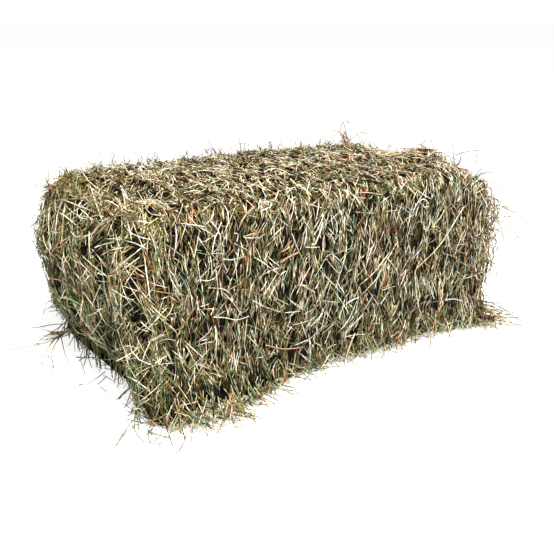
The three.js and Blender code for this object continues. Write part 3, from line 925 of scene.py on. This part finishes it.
class Pile:
    """Collects faces and what goes with them, and makes one mesh of them all."""

    def __init__(self):
        self.points = []
        self.kind = []
        self.tint = []
        self.faces = {3: [], 4: []}
        self.places = {3: [], 4: []}
        self.slots = {3: [], 4: []}
        self.total = 0

    def add_points(self, points, kind=0.5, tint=1):
        """Adds vertices and returns the place of the first one."""
        first = self.total
        self.points.append(points)
        self.kind.append(np.broadcast_to(kind, len(points)))
        self.tint.append(np.broadcast_to(tint, points.shape))
        self.total += len(points)
        return first

    def add_faces(self, faces, places, slot=0):
        corners = faces.shape[1]
        self.faces[corners].append(faces)
        self.places[corners].append(places.reshape(-1, 2))
        self.slots[corners].append(np.full(len(faces), slot))

    def mesh(self, name):
        points = np.concatenate(self.points)
        sizes = [corners for corners in (3, 4) if self.faces[corners]]
        faces = {corners: np.concatenate(self.faces[corners]) for corners in sizes}
        loops = np.concatenate([faces[corners].ravel() for corners in sizes])
        counts = np.concatenate([np.full(len(faces[corners]), corners) for corners in sizes])
        places = np.concatenate([np.concatenate(self.places[corners]) for corners in sizes])
        slots = np.concatenate([np.concatenate(self.slots[corners]) for corners in sizes])
        mesh = bpy.data.meshes.new(name)
        mesh.vertices.add(len(points))
        mesh.vertices.foreach_set("co", points.astype(np.float32).ravel())
        mesh.loops.add(len(loops))
        mesh.loops.foreach_set("vertex_index", loops.astype(np.int32))
        mesh.polygons.add(len(counts))
        mesh.polygons.foreach_set("loop_start", (np.cumsum(counts) - counts).astype(np.int32))
        mesh.polygons.foreach_set("material_index", slots.astype(np.int32))
        layer = mesh.uv_layers.new(name=BAKE_MAP)
        layer.uv.foreach_set("vector", places.astype(np.float32).ravel())
        kind = mesh.attributes.new("kind", "FLOAT", "POINT")
        kind.data.foreach_set("value", np.concatenate(self.kind).astype(np.float32))
        tint = mesh.attributes.new("tint", "FLOAT_VECTOR", "POINT")
        tint.data.foreach_set("vector", np.concatenate(self.tint).astype(np.float32).ravel())
        mesh.update(calc_edges=True)
        mesh.validate()
        return mesh


class Cells:
    """Deals out cells of the bake map, one to each stem, above the strip kept for a core."""

    def __init__(self, stems, strip):
        self.across = math.ceil(math.sqrt(stems / (1 - strip)))
        self.rows = math.ceil(stems / self.across)
        self.strip = strip
        self.next = 0

    def take(self, count):
        """The lower left corners of the next cells, and the size of a cell."""
        index = np.arange(self.next, self.next + count)
        self.next += count
        size = np.array([1 / self.across, (1 - self.strip) / self.rows])
        corner = np.stack([index % self.across, index // self.across], axis=1) * size
        return corner + np.array([0, self.strip]), size


def add_stems(pile, cells, stems):
    points = stem_points(stems)
    count, many, _ = points.shape
    rings = (many - 2) // 3
    tone = stems["tone"]
    ringed = np.repeat(tone[:, 1:-1], 3, axis=1)
    tones = np.concatenate([tone[:, :1], ringed, tone[:, -1:]], axis=1)
    tint = tones[:, :, None] ** np.array(TINT_POWERS) * stems["cast"][:, None, :]
    first = pile.add_points(points.reshape(-1, 3), np.repeat(stems["kind"], many), tint.reshape(-1, 3))
    base = first + (np.arange(count) * many)[:, None, None]
    triangles, quads = stem_faces(rings)
    corner, size = cells.take(count)
    places = corner[:, None, :] + stem_map(rings, stems["shares"])[None] * size
    split = triangles.size
    pile.add_faces((triangles[None] + base).reshape(-1, 3), places[:, :split])
    pile.add_faces((quads[None] + base).reshape(-1, 4), places[:, split:])


def chosen(stems, picked):
    return {key: value if key == "shares" else value[picked] for key, value in stems.items()}


# The mass inside each flake, painted near black as shade


def section_ring(x):
    """Points round the block's section at x, before they are settled on the skin."""
    angle = 2 * np.pi * np.arange(CORE_AROUND) / CORE_AROUND
    out = np.stack([np.zeros(CORE_AROUND), np.cos(angle), np.sin(angle)], axis=1)
    square = out / np.abs(out[:, 1:] / HALF[1:]).max(axis=1)[:, None]
    return square * CORE_START + np.array([x, 0, CENTRE[2]])


def core_rings(index):
    """The rings of one flake's core, round its skin from one joint to the next."""
    low = -HALF[0] if index == 0 else JOINTS[index - 1] + CORE_GAP
    high = HALF[0] if index == len(FLAKES) - 1 else JOINTS[index] - CORE_GAP
    many = max(CORE_LEAST_RINGS, int((high - low) / CORE_STEP))
    inner = HALF[0] - CORE_DEPTH
    rings = []
    for x in np.linspace(low, high, many):
        ring = section_ring(np.clip(x, -inner, inner))
        dent = -CORE_DEPTH + CORE_ROUGH * lattice_noise(ring, CORE_ROUGH_SIZE, 21 + index)
        settled, _ = settle(ring, dent, passes=3)
        settled[:, 0] = np.clip(x, -inner, inner)
        settled[:, 2] = np.maximum(settled[:, 2], CORE_LOWEST)
        rings.append(settled)
    return rings


def end_rings(rim, side):
    """Rings that close an end flake's core over its swollen face, from the rim to the middle."""
    rings = []
    for scale in np.linspace(0.95, 0.02, END_RINGS):
        ring = rim.copy()
        ring[:, 1] *= scale
        ring[:, 2] = CENTRE[2] + (ring[:, 2] - CENTRE[2]) * scale
        ring[:, 0] = side * HALF[0]
        for _ in range(3):
            rough = END_ROUGH * lattice_noise(ring, END_ROUGH_SIZE, 31)
            ring[:, 0] -= side * (skin_distance(ring) + CORE_DEPTH - rough)
        rings.append(ring)
    return rings


def joined(corners):
    """The corners' places in the bake map, face by face."""
    return np.stack([np.stack(corner, axis=1) for corner in corners], axis=1)


def tube(pile, rings, strip, slot=0):
    """A closed body through rings of points, drawn to a middle point at each end. It fills the
    given strip of the bake map, from its lower edge to its upper one."""
    around = len(rings[0])
    many = len(rings)
    middles = np.array([rings[0].mean(axis=0), rings[-1].mean(axis=0)])
    first = pile.add_points(np.concatenate([*rings, middles]))
    here = np.arange(around)
    after = (here + 1) % around
    left, right = here / around, (here + 1) / around

    def level(ring):
        return np.full(around, strip[0] + (strip[1] - strip[0]) * (ring + 1) / (many + 1))

    for ring in range(many - 1):
        a, b = first + ring * around, first + (ring + 1) * around
        quads = np.stack([a + here, a + after, b + after, b + here], axis=1)
        low, high = level(ring), level(ring + 1)
        corners = [(left, low), (right, low), (right, high), (left, high)]
        pile.add_faces(quads, joined(corners), slot)
    for end, outer in ((0, -0.5), (many - 1, many - 0.5)):
        a = first + end * around
        centre = np.full(around, first + many * around + (1 if end else 0))
        order = (here, after) if end else (after, here)
        triangles = np.stack([centre, a + order[0], a + order[1]], axis=1)
        sides = (left, right) if end else (right, left)
        corners = [((left + right) / 2, level(outer))] + [(side, level(end)) for side in sides]
        pile.add_faces(triangles, joined(corners), slot)


def add_core(pile, index):
    rings = core_rings(index)
    if index == 0:
        rings = end_rings(rings[0], -1)[::-1] + rings
    if index == len(FLAKES) - 1:
        rings = rings + end_rings(rings[-1], 1)
    tube(pile, rings, (0, CORE_STRIP * 0.98), CORE_SLOT)


# Baling twine: two plies of coarse fibre, wound round each other

TWINE_ROUTE_LOW = 6 * MM
TWINE_ROUTE_HIGH = 376 * MM
TWINE_ROUTE_END = 438 * MM
TWINE_CORNER = 34 * MM
PLY_RADIUS = 1.35 * MM
PLY_OFFSET = 1.15 * MM
PLY_PITCH = 22 * MM
PLY_SIDES = 5
PLY_STEPS = 690
KNOT_HEIGHT = 0.6 * HEIGHT
KNOT_OUT = 4 * MM
KNOT_SIZE = 2.5 * MM
KNOT_RADIUS = 1.7 * MM
TAIL_RADIUS = 1.9 * MM
CORD_SIDES = 6

# A direction that no part of a knot or its cut ends runs along
SIDEWAYS = np.array([0.31, 0.2, 0.93])


def twine_line(y, count):
    """Points at even steps round the loop, the outward direction at each, and its length."""
    right = TWINE_ROUTE_END - TWINE_CORNER
    low = TWINE_ROUTE_LOW + TWINE_CORNER
    high = TWINE_ROUTE_HIGH - TWINE_CORNER
    points, outs = [], []
    for x, z, start in ((right, high, 90), (right, low, 0), (-right, low, 270), (-right, high, 180)):
        for turn in range(0, 91, 10):
            angle = math.radians(start - turn)
            out = np.array([math.cos(angle), 0, math.sin(angle)])
            points.append(np.array([x, y, z]) + out * TWINE_CORNER)
            outs.append(out)
    points, outs = np.array(points + points[:1]), np.array(outs + outs[:1])
    run = np.concatenate([[0], np.cumsum(np.linalg.norm(np.diff(points, axis=0), axis=1))])
    even = np.linspace(0, run[-1], count, endpoint=False)
    line = np.stack([np.interp(even, run, points[:, axis]) for axis in range(3)], axis=1)
    out = np.stack([np.interp(even, run, outs[:, axis]) for axis in range(3)], axis=1)
    return line, unit(out), run[-1]


def ring_round(centre, out, across, radius, sides):
    angle = 2 * np.pi * np.arange(sides) / sides
    return centre + radius * (np.outer(np.cos(angle), out) + np.outer(np.sin(angle), across))


def swept(points, radius, taper=0.0):
    """Rings of a round cord along points."""
    along = unit(np.gradient(points, axis=0))
    across = unit(np.cross(along, SIDEWAYS))
    out = np.cross(across, along)
    widths = radius * (1 - taper * np.linspace(0, 1, len(points)))
    return [ring_round(*place, CORD_SIDES) for place in zip(points, out, across, widths)]


def add_twine(pile, y):
    """One loop of twine, with its knot at the right end."""
    line, out, length = twine_line(y, PLY_STEPS)
    line = np.vstack([line, line[:1]])
    out = np.vstack([out, out[:1]])
    across = np.array([0, -1.0, 0])
    turns = round(length / PLY_PITCH)
    wind = 2 * np.pi * turns * np.arange(PLY_STEPS + 1) / PLY_STEPS
    for ply in range(2):
        angle = (wind + np.pi * ply)[:, None]
        middle = line + PLY_OFFSET * (np.cos(angle) * out + np.sin(angle) * across)
        rings = [ring_round(*place, across, PLY_RADIUS, PLY_SIDES) for place in zip(middle, out)]
        tube(pile, rings, (0.45 * ply, 0.45 * ply + 0.44))
    add_knot(pile, y)


def add_knot(pile, y):
    """An overhand knot pulled tight, and its two cut ends hanging down."""
    t = np.linspace(0, 2 * np.pi, 40)
    centre = np.array([TWINE_ROUTE_END + KNOT_OUT, y, KNOT_HEIGHT])
    waves = [np.sin(3 * t), np.sin(t) + 2 * np.sin(2 * t), np.cos(t) - 2 * np.cos(2 * t)]
    tube(pile, swept(centre + KNOT_SIZE * np.stack(waves, axis=1), KNOT_RADIUS), (0.9, 0.94))
    for side, low in ((-1, 0.95), (1, 0.975)):
        ends = [(0, 0, 0), (5, 3 * side, -8), (6, 6 * side, -22), (4, 4 * side, -38)]
        tail = smooth_route(centre + np.array(ends) * MM, np.linspace(0, 1, 14))
        tube(pile, swept(tail, TAIL_RADIUS, taper=0.3), (low, low + 0.02))


# Loose tufts. Their cores and stalks repeat the routes of the solids, in millimetres.

TUFTS = {
    "loose_tuft_corner": dict(
        core=[(-420, -236, 26), (-436, -256, 15), (-447, -270, 8)],
        stalks=[
            [(-391, -303, 4), (-373, -350, 3), (-342, -357, 3), (-289, -366, 3), (-273, -394, 3)],
            [(-420, -308, 5), (-443, -346, 3), (-487, -381, 3)],
            [(-453, -301, 4), (-469, -349, 3)],
            [(-500, -245, 4), (-556, -293, 3)],
            [(-482, -280, 4), (-495, -319, 3), (-476, -330, 3)],
        ],
        kinds=[0.62, 0.2, 0.06, 0.84, 0.8],
    ),
    "loose_tuft_left": dict(
        core=[(-425, 214, 30), (-444, 228, 20), (-458, 236, 12)],
        stalks=[
            [(-490, 280, 14), (-533, 372, 4)],
            [(-500, 242, 5), (-566, 239, 3), (-599, 208, 3)],
            [(-500, 170, 5), (-521, 99, 3), (-565, 30, 3)],
        ],
        kinds=[0.5, 0.66, 0.3],
    ),
    "loose_tuft_right": dict(
        companions=1,
        bundle=1,
        core=[(438, -214, 300), (452, -232, 300), (470, -250, 292)],
        stalks=[
            [(510, -295, 276), (545, -335, 190), (560, -352, 70)],
            [(498, -280, 262), (520, -304, 190), (524, -310, 105)],
            [(545, -300, 280)],
            [(488, -266, 240), (500, -274, 170), (496, -272, 110)],
        ],
        kinds=[0.5, 0.44, 0.55, 0.36],
    ),
    "loose_tuft_foot": dict(
        core=[(418, -236, 26), (432, -256, 15), (444, -270, 8)],
        stalks=[
            [(448, -300, 5), (433, -366, 3)],
            [(425, -296, 5), (398, -325, 3)],
            [(500, -320, 5), (502, -392, 3)],
            [(500, -268, 5), (552, -240, 3)],
        ],
        kinds=[0.4, 0.2, 0.6, 0.8],
    ),
    "loose_curl_top": dict(
        companions=1,
        bundle=2,
        core=[(404, 206, 372), (408, 216, 388), (412, 224, 402)],
        stalks=[
            [(404, 236, 424), (414, 250, 444), (436, 252, 438)],
            [(390, 232, 418), (366, 238, 426)],
            [(440, 206, 416), (462, 196, 410)],
        ],
        kinds=[0.5, 0.1, 0.46],
    ),
}
TUFT_RINGS = 9
MAIN_TONE = 1.25
MAIN_WIDTH = 3.2


def draw_hue(middle, spread, count=None):
    """Kinds of stem round a middle one, kept within the scale of kinds."""
    return np.clip(rng.normal(middle, spread, count), 0, 1)


def tuft_stems(core, stalks, kinds, companions=3, bundle=5):
    """The stalks of one tuft: one along each route, thinner ones beside it, and a short bundle
    where they all come out of the hay."""
    shares = stations(TUFT_RINGS)
    core = np.array(core) * MM
    outer = core[1] + (core[2] - core[1]) * 0.3
    path, looks = [], []
    for route, kind in zip(stalks, kinds):
        points = np.vstack([core[0], outer, np.array(route) * MM])
        path.append(smooth_route(points, shares))
        looks.append((kind, MAIN_TONE, MAIN_WIDTH))
        for _ in range(companions):
            beside = smooth_route(points, shares * rng.uniform(0.55, 0.95))
            astray = rng.normal(0, 1, 3) * np.array([14, 14, 9]) * MM
            path.append(beside + shares[:, None] ** 1.5 * astray)
            looks.append((draw_hue(kind, 0.2), rng.uniform(0.5, 1.3), rng.uniform(1.6, 2.6)))
    for _ in range(bundle):
        away = rng.normal(0, 1, 3) * np.array([22, 22, 8]) * MM
        tip = core[2] + (core[2] - core[0]) * rng.uniform(0.2, 1.2) + away
        root = core[0] + rng.normal(0, 7 * MM, 3)
        path.append(smooth_route([root, core[1] + away * 0.25, tip], shares))
        looks.append((rng.random(), rng.uniform(0.4, 1.3), rng.uniform(1.8, 3.2)))
    return routed_stems(np.stack(path), looks, shares)


# Edges along which short stems stand out: how many, the edge's two ends in millimetres, the way
# they lean, how long they are about in millimetres, and their middle kind
STUBBLE = {
    "far_top": dict(
        count=420, ends=((-440, 250, 391), (440, 250, 391)), lean=(0, 0.1, 0.9), length=12, kind=0.5,
    ),
    "left_top": dict(
        count=170, ends=((-450, -240, 385), (-450, 250, 385)), lean=(-0.7, 0, 0.6), length=14, kind=0.4,
    ),
    "right_top": dict(
        count=120, ends=((440, -220, 385), (440, 250, 385)), lean=(0.4, 0, 0.8), length=10, kind=0.5,
    ),
    "far_left": dict(
        count=150, ends=((-440, 250, 30), (-440, 250, 380)), lean=(-0.8, 0.5, -0.1), length=16, kind=0.7,
    ),
}

# How short the shortest stubble is, how deep it is rooted, how much it turns and bends, and how far
# any short stem may reach out, in millimetres where nothing else is said
STUBBLE_SHORTEST = 8
STUBBLE_DEPTH = 5 * MM
STUBBLE_TURN = 0.45
STUBBLE_BEND = 0.35
LONGEST_REACH = 50


def stubble_stems(count, ends, lean, length, kind):
    """Short stems that stand out along one edge of the bale."""
    shares = stations(3)
    start, end = np.array(ends) * MM
    roots, _ = settle(start + (end - start) * rng.random((count, 1)), np.full(count, -STUBBLE_DEPTH))
    heading = unit(np.array(lean) + rng.normal(0, STUBBLE_TURN, (count, 3)))
    reach = STUBBLE_SHORTEST + rng.exponential(length, count)
    reach = (np.minimum(reach, LONGEST_REACH) * MM)[:, None]
    bend = rng.normal(0, STUBBLE_BEND, (count, 3)) * reach
    middle = roots + heading * reach * 0.5 - bend * 0.3
    tip = roots + heading * reach + bend * 0.4
    path = np.stack([smooth_route(points, shares) for points in zip(roots, middle, tip)])
    kinds = draw_hue(kind, 0.25, count)
    looks = np.stack([kinds, rng.uniform(0.25, 1.0, count), rng.uniform(1.3, 2.4, count)], axis=1)
    return routed_stems(path, looks, shares)


# The skirt of short stems round the foot: how many, the shares of them on the long sides, on the
# front or the left end, and at the spread foot, and in millimetres how far they turn aside, reach
# and sway
SKIRT_COUNT = 640
SKIRT_LONG_SIDES = 0.74
SKIRT_SEEN_SIDES = 0.7
SKIRT_IN_FOOT = 0.2
SKIRT_ASIDE = 36
SKIRT_MOST_ASIDE = 70
SKIRT_REACH = 13
SKIRT_SWAY = 9

# They reach further round this corner. Each has three points: a share of its reach, and the lowest
# and highest that it can be there in millimetres. Their roots are moved to lie in the skin.
SKIRT_CORNER = (-0.36, -0.27)
SKIRT_CORNER_WIDTH = 0.14
SKIRT_STATIONS = ((-0.2, 15, 70), (0.35, 6, 34), (1, 1, 7))
SKIRT_ROOT_DEPTH = 6 * MM
SKIRT_SHIFTS = (-70 * MM, 60 * MM)


def skirt_stems():
    """Short stems that come out of the foot of the bale and lie on the floor round it."""
    count = SKIRT_COUNT
    shares = stations(3)
    long_side = rng.random(count) < SKIRT_LONG_SIDES
    side = np.where(rng.random(count) < SKIRT_SEEN_SIDES, -1, 1)
    place = rng.uniform(-1, 1, count)
    in_foot = rng.random(count) < SKIRT_IN_FOOT
    side = np.where(long_side & in_foot, -1, side)
    at_foot = FRONT_FOOT_AT + rng.normal(-0.1, 0.4, count) * FRONT_FOOT_WIDTH
    x = np.where(long_side, np.where(in_foot, at_foot, place * HALF[0]), side * HALF[0])
    y = np.where(long_side, side * HALF[1], place * HALF[1])
    out = np.stack([np.where(long_side, 0, side), np.where(long_side, side, 0)], axis=1)
    aside = rng.normal(0, SKIRT_ASIDE, (count, 1))
    aside = out[:, ::-1] * np.clip(aside, -SKIRT_MOST_ASIDE, SKIRT_MOST_ASIDE) * MM
    near = bell(np.hypot(x - SKIRT_CORNER[0], y - SKIRT_CORNER[1]), SKIRT_CORNER_WIDTH)
    at_left = ~long_side & (side < 0)
    reach = (2 + rng.exponential(SKIRT_REACH, count)) * (1 + near - 0.5 * at_left)
    reach = np.minimum(reach, LONGEST_REACH) * MM
    path = []
    for share, low, high in SKIRT_STATIONS:
        level = (rng.uniform(low, high, count) * MM)[:, None]
        sway = out[:, ::-1] * rng.normal(0, SKIRT_SWAY * MM, (count, 1))
        ahead = out * (reach * share)[:, None] + aside * max(share, 0) + sway
        path.append(np.hstack([np.stack([x, y], axis=1) + ahead, level]))
    path = np.stack([smooth_route(points, shares) for points in np.stack(path, axis=1)])
    outside = skin_distance(path[:, 0]) + SKIRT_ROOT_DEPTH
    path[:, :, :2] -= (out * np.clip(outside, *SKIRT_SHIFTS)[:, None])[:, None, :]
    kinds = np.clip(rng.normal(0.5, 0.2, count) + 0.25 * at_left, 0, 1)
    tones = rng.uniform(0.2, 1.2, count) * np.where(at_left, 0.7, 1)
    looks = np.stack([kinds, tones, rng.uniform(1.8, 3.4, count)], axis=1)
    return routed_stems(path, looks, shares)


def sprayed(count, rings, draw):
    """Stems along routes in millimetres. draw gives one route at a time, and its stem's look."""
    shares = stations(rings)
    path, looks = [], []
    for _ in range(count):
        route, look = draw()
        path.append(smooth_route(np.array(route) * MM, shares))
        looks.append(look)
    return routed_stems(np.stack(path), looks, shares)


def curtain_stem():
    """A thin stem that bows out of the right end beside the front and hangs down along it."""
    y = rng.uniform(-262, -165)
    high = rng.uniform(165, 355)
    drop = rng.uniform(40, 165)
    out = 6 + 40 * rng.random() ** 1.7
    side = rng.normal(0, 12, 2)
    route = [
        (432, y, high),
        (444 + out * 0.6, y - out * 0.2 + side[0], high - 0.1 * drop),
        (442 + out, y - out * 0.4 + side[1], high - drop * 0.5),
        (438 + out * rng.uniform(-0.2, 0.8), y - out * 0.3, max(high - drop, 30)),
    ]
    return route, (rng.uniform(0.02, 0.9), rng.uniform(0.15, 0.9), rng.uniform(1.8, 3.0))


def foot_stem():
    """A stem that slides down the right end's near corner and splays over the floor."""
    y = rng.uniform(-270, -190)
    reach = rng.exponential(40) + 10
    turn = rng.uniform(-0.2, 2.2)
    away = np.array([math.cos(turn), -math.sin(turn)]) * min(reach, 115)
    high = rng.uniform(10, 66)
    side = rng.normal(0, 20, 2)
    route = [
        (425, y, high),
        (440 + away[0] * 0.4 + side[0], y + away[1] * 0.4 + side[1], high * 0.6 + 4),
        (440 + away[0], y + away[1], rng.exponential(6) + 3),
    ]
    return route, (draw_hue(0.42, 0.26), rng.uniform(0.15, 1.0), rng.uniform(1.6, 2.8))


# Materials


def node(tree, kind, **settings):
    made = tree.nodes.new(kind)
    for key, value in settings.items():
        setattr(made, key, value)
    return made


def ramp(tree, source, stops):
    made = node(tree, "ShaderNodeValToRGB")
    elements = made.color_ramp.elements
    while len(elements) < len(stops):
        elements.new(0.5)
    for element, (place, colour) in zip(elements, stops):
        element.position = place
        element.color = (*colour, 1)
    tree.links.new(source, made.inputs["Fac"])
    return made.outputs["Color"]


def noise(tree, scale, detail, stretch=(1, 1, 1)):
    """Noise in the object's own space. A stretch over 1 makes it finer that way."""
    place = node(tree, "ShaderNodeTexCoord")
    mapping = node(tree, "ShaderNodeMapping")
    mapping.inputs["Scale"].default_value = stretch
    made = node(tree, "ShaderNodeTexNoise")
    made.inputs["Scale"].default_value = scale
    made.inputs["Detail"].default_value = detail
    tree.links.new(place.outputs["Object"], mapping.inputs["Vector"])
    tree.links.new(mapping.outputs["Vector"], made.inputs["Vector"])
    return made.outputs["Fac"]


def spread_to(tree, source, low, high, new_low, new_high):
    """Values from low to high, spread from new_low to new_high."""
    made = node(tree, "ShaderNodeMapRange")
    made.inputs["From Min"].default_value = low
    made.inputs["From Max"].default_value = high
    made.inputs["To Min"].default_value = new_low
    made.inputs["To Max"].default_value = new_high
    tree.links.new(source, made.inputs["Value"])
    return made.outputs["Result"]


def product(tree, first, second):
    made = node(tree, "ShaderNodeVectorMath", operation="MULTIPLY")
    tree.links.new(first, made.inputs[0])
    tree.links.new(second, made.inputs[1])
    return made.outputs["Vector"]


def scaled(tree, colour, factor):
    made = node(tree, "ShaderNodeVectorMath", operation="SCALE")
    tree.links.new(colour, made.inputs[0])
    tree.links.new(factor, made.inputs["Scale"])
    return made.outputs["Vector"]


def new_material(name):
    material = bpy.data.materials.new(name)
    material.use_nodes = True
    return material, material.node_tree, material.node_tree.nodes["Principled BSDF"]


# Kinds of stem, by colour: rust, orange straw, straw, cream, grey green, olive and leaf green
HAY_KINDS = [
    (0.00, (0.25, 0.105, 0.060)),
    (0.12, (0.44, 0.205, 0.110)),
    (0.24, (0.66, 0.390, 0.235)),
    (0.36, (0.66, 0.520, 0.300)),
    (0.52, (0.80, 0.730, 0.520)),
    (0.64, (0.45, 0.530, 0.350)),
    (0.80, (0.25, 0.345, 0.195)),
    (1.00, (0.17, 0.250, 0.090)),
]
# The core's colours are painted shade: near black, for the dark deep between the stems.
CORE_SHADE_COLOURS = [
    (0.30, (0.004, 0.003, 0.002)),
    (0.55, (0.020, 0.016, 0.008)),
    (0.75, (0.070, 0.055, 0.030)),
]
TWINE_COLOURS = [
    (0.30, (0.13, 0.085, 0.04)),
    (0.50, (0.36, 0.260, 0.14)),
    (0.72, (0.56, 0.440, 0.27)),
]


def hay_material():
    """Stems and leaves: a colour for each kind, lighter or darker by stem, mottled along it."""
    material, tree, shader = new_material("hay_stems")
    kind = node(tree, "ShaderNodeAttribute", attribute_name="kind")
    tint = node(tree, "ShaderNodeAttribute", attribute_name="tint")
    mottle = noise(tree, scale=110, detail=5)
    blotch = spread_to(tree, mottle, low=0.32, high=0.68, new_low=0.45, new_high=1.4)
    colour = ramp(tree, kind.outputs["Fac"], HAY_KINDS)
    tinted = product(tree, scaled(tree, colour, blotch), tint.outputs["Vector"])
    tree.links.new(tinted, shader.inputs["Base Color"])
    roughness = spread_to(tree, mottle, low=0.3, high=0.7, new_low=0.5, new_high=0.8)
    tree.links.new(roughness, shader.inputs["Roughness"])
    shader.inputs["Specular IOR Level"].default_value = 0.25
    return material


def core_shade_material():
    """What shows between the stems: painted shade, near black with faint streaks, on the core of each
    flake.
    """
    material, tree, shader = new_material("hay_core_painted_shade")
    streaks = noise(tree, scale=90, detail=6, stretch=(3, 1, 0.4))
    tree.links.new(ramp(tree, streaks, CORE_SHADE_COLOURS), shader.inputs["Base Color"])
    shader.inputs["Roughness"].default_value = 0.95
    shader.inputs["Specular IOR Level"].default_value = 0.1
    return material


def twine_material():
    """Coarse plant fibre: pale and dark fibres side by side, and a bump that follows them."""
    material, tree, shader = new_material("baling_twine")
    fibres = noise(tree, scale=420, detail=5, stretch=(0.5, 2, 1))
    tree.links.new(ramp(tree, fibres, TWINE_COLOURS), shader.inputs["Base Color"])
    bump = node(tree, "ShaderNodeBump")
    bump.inputs["Strength"].default_value = 0.6
    bump.inputs["Distance"].default_value = 0.4 * MM
    tree.links.new(fibres, bump.inputs["Height"])
    tree.links.new(bump.outputs["Normal"], shader.inputs["Normal"])
    shader.inputs["Roughness"].default_value = 0.85
    return material


# How bright floor and sky are as light on the bale, and where the camera sees them
FLOOR_GLOW = (0.07, 0.86)
SKY_GLOW = (0.14, 1.05)
FLOOR_SIZE = 60
FLOOR_DROP = 0.5 * MM

# The one lamp, to the front and left of the bale
KEY_PLACE = (-0.75, -1.5, 3.0)
KEY_POWER = 216
KEY_SIZE = 0.4
LIGHT_AIM = (0, 0, 0.2)


def glow(tree, lit, seen):
    """A strength that is the first as light on the bale, and the second to the camera."""
    path = node(tree, "ShaderNodeLightPath")
    return spread_to(tree, path.outputs["Is Camera Ray"], 0, 1, lit, seen)


def floor_material():
    material, tree, shader = new_material("floor")
    shader.inputs["Base Color"].default_value = (0.9, 0.9, 0.9, 1)
    shader.inputs["Roughness"].default_value = 0.9
    shader.inputs["Specular IOR Level"].default_value = 0
    shader.inputs["Emission Color"].default_value = (1, 1, 1, 1)
    tree.links.new(glow(tree, *FLOOR_GLOW), shader.inputs["Emission Strength"])
    return material


# Putting the pieces together


def make_piece(name, pile, materials, nodes):
    piece = bpy.data.objects.new(name, pile.mesh(name))
    bpy.context.scene.collection.objects.link(piece)
    for material in materials:
        piece.data.materials.append(material)
    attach(piece, "root")
    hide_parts(*nodes)


def middle_of(path):
    return path[:, path.shape[1] // 2]


def make_flakes(materials):
    layers = [grow_layer(name) for name in LAYERS]
    for stems in (FRONT_STEMS, END_STEMS, TOP_STEMS):
        layers.append(photo_stems(stems))
    layers.append(photo_stems(FAR_EDGE_STEMS, FAR_EDGE))
    layers.append(photo_stems(RIGHT_EDGE_STEMS, RIGHT_EDGE))
    layers.append(skirt_stems())
    for edge in STUBBLE.values():
        layers.append(stubble_stems(**edge))
    owners = [np.searchsorted(JOINTS, middle_of(stems["path"])[:, 0]) for stems in layers]
    for index, name in enumerate(FLAKES):
        pile = Pile()
        add_core(pile, index)
        mine = [chosen(stems, owner == index) for stems, owner in zip(layers, owners)]
        cells = Cells(sum(len(stems["width"]) for stems in mine), CORE_STRIP)
        for stems in mine:
            if len(stems["width"]):
                add_stems(pile, cells, stems)
        make_piece(f"{name}_hay", pile, materials, [name])


def make_twines(material):
    for name, y in (("twine_front", -TWINE_SPREAD), ("twine_back", TWINE_SPREAD)):
        pile = Pile()
        add_twine(pile, y)
        make_piece(f"{name}_plies", pile, [material], [name])


def make_tufts(material):
    extra = {
        "loose_tuft_corner": [photo_stems(CORNER_FLOOR_STEMS, FLOOR)],
        "loose_tuft_left": [photo_stems(LEFT_FLOOR_STEMS, FLOOR)],
        "loose_tuft_right": [photo_stems(DRAPE_STEMS, DRAPE), sprayed(230, 7, curtain_stem)],
        "loose_tuft_foot": [sprayed(190, 6, foot_stem)],
    }
    for name, tuft in TUFTS.items():
        groups = [tuft_stems(**tuft), *extra.get(name, [])]
        pile = Pile()
        cells = Cells(sum(len(stems["width"]) for stems in groups), 0)
        for stems in groups:
            add_stems(pile, cells, stems)
        make_piece(f"{name}_stalks", pile, [material], [name])


def make_floor():
    bpy.ops.mesh.primitive_plane_add(size=FLOOR_SIZE, location=(0, 0, -FLOOR_DROP))
    floor = bpy.context.object
    floor.name = "floor"
    floor.data.materials.append(floor_material())


def make_world():
    world = bpy.data.worlds.new("world")
    bpy.context.scene.world = world
    world.use_nodes = True
    tree = world.node_tree
    background = tree.nodes["Background"]
    background.inputs["Color"].default_value = (1, 1, 1, 1)
    tree.links.new(glow(tree, *SKY_GLOW), background.inputs["Strength"])


def make_light(name, place, power, size):
    data = bpy.data.lights.new(name, "AREA")
    data.energy = power
    data.size = size
    light = bpy.data.objects.new(name, data)
    bpy.context.scene.collection.objects.link(light)
    light.location = place
    aim = Vector(LIGHT_AIM) - light.location
    light.rotation_mode = "QUATERNION"
    light.rotation_quaternion = aim.to_track_quat("-Z", "Y")


make_camera()
make_floor()
make_world()
make_light("key", KEY_PLACE, KEY_POWER, KEY_SIZE)
bpy.context.scene.view_settings.view_transform = "Standard"
stem_look = hay_material()
make_flakes([stem_look, core_shade_material()])
make_twines(twine_material())
make_tufts(stem_look)
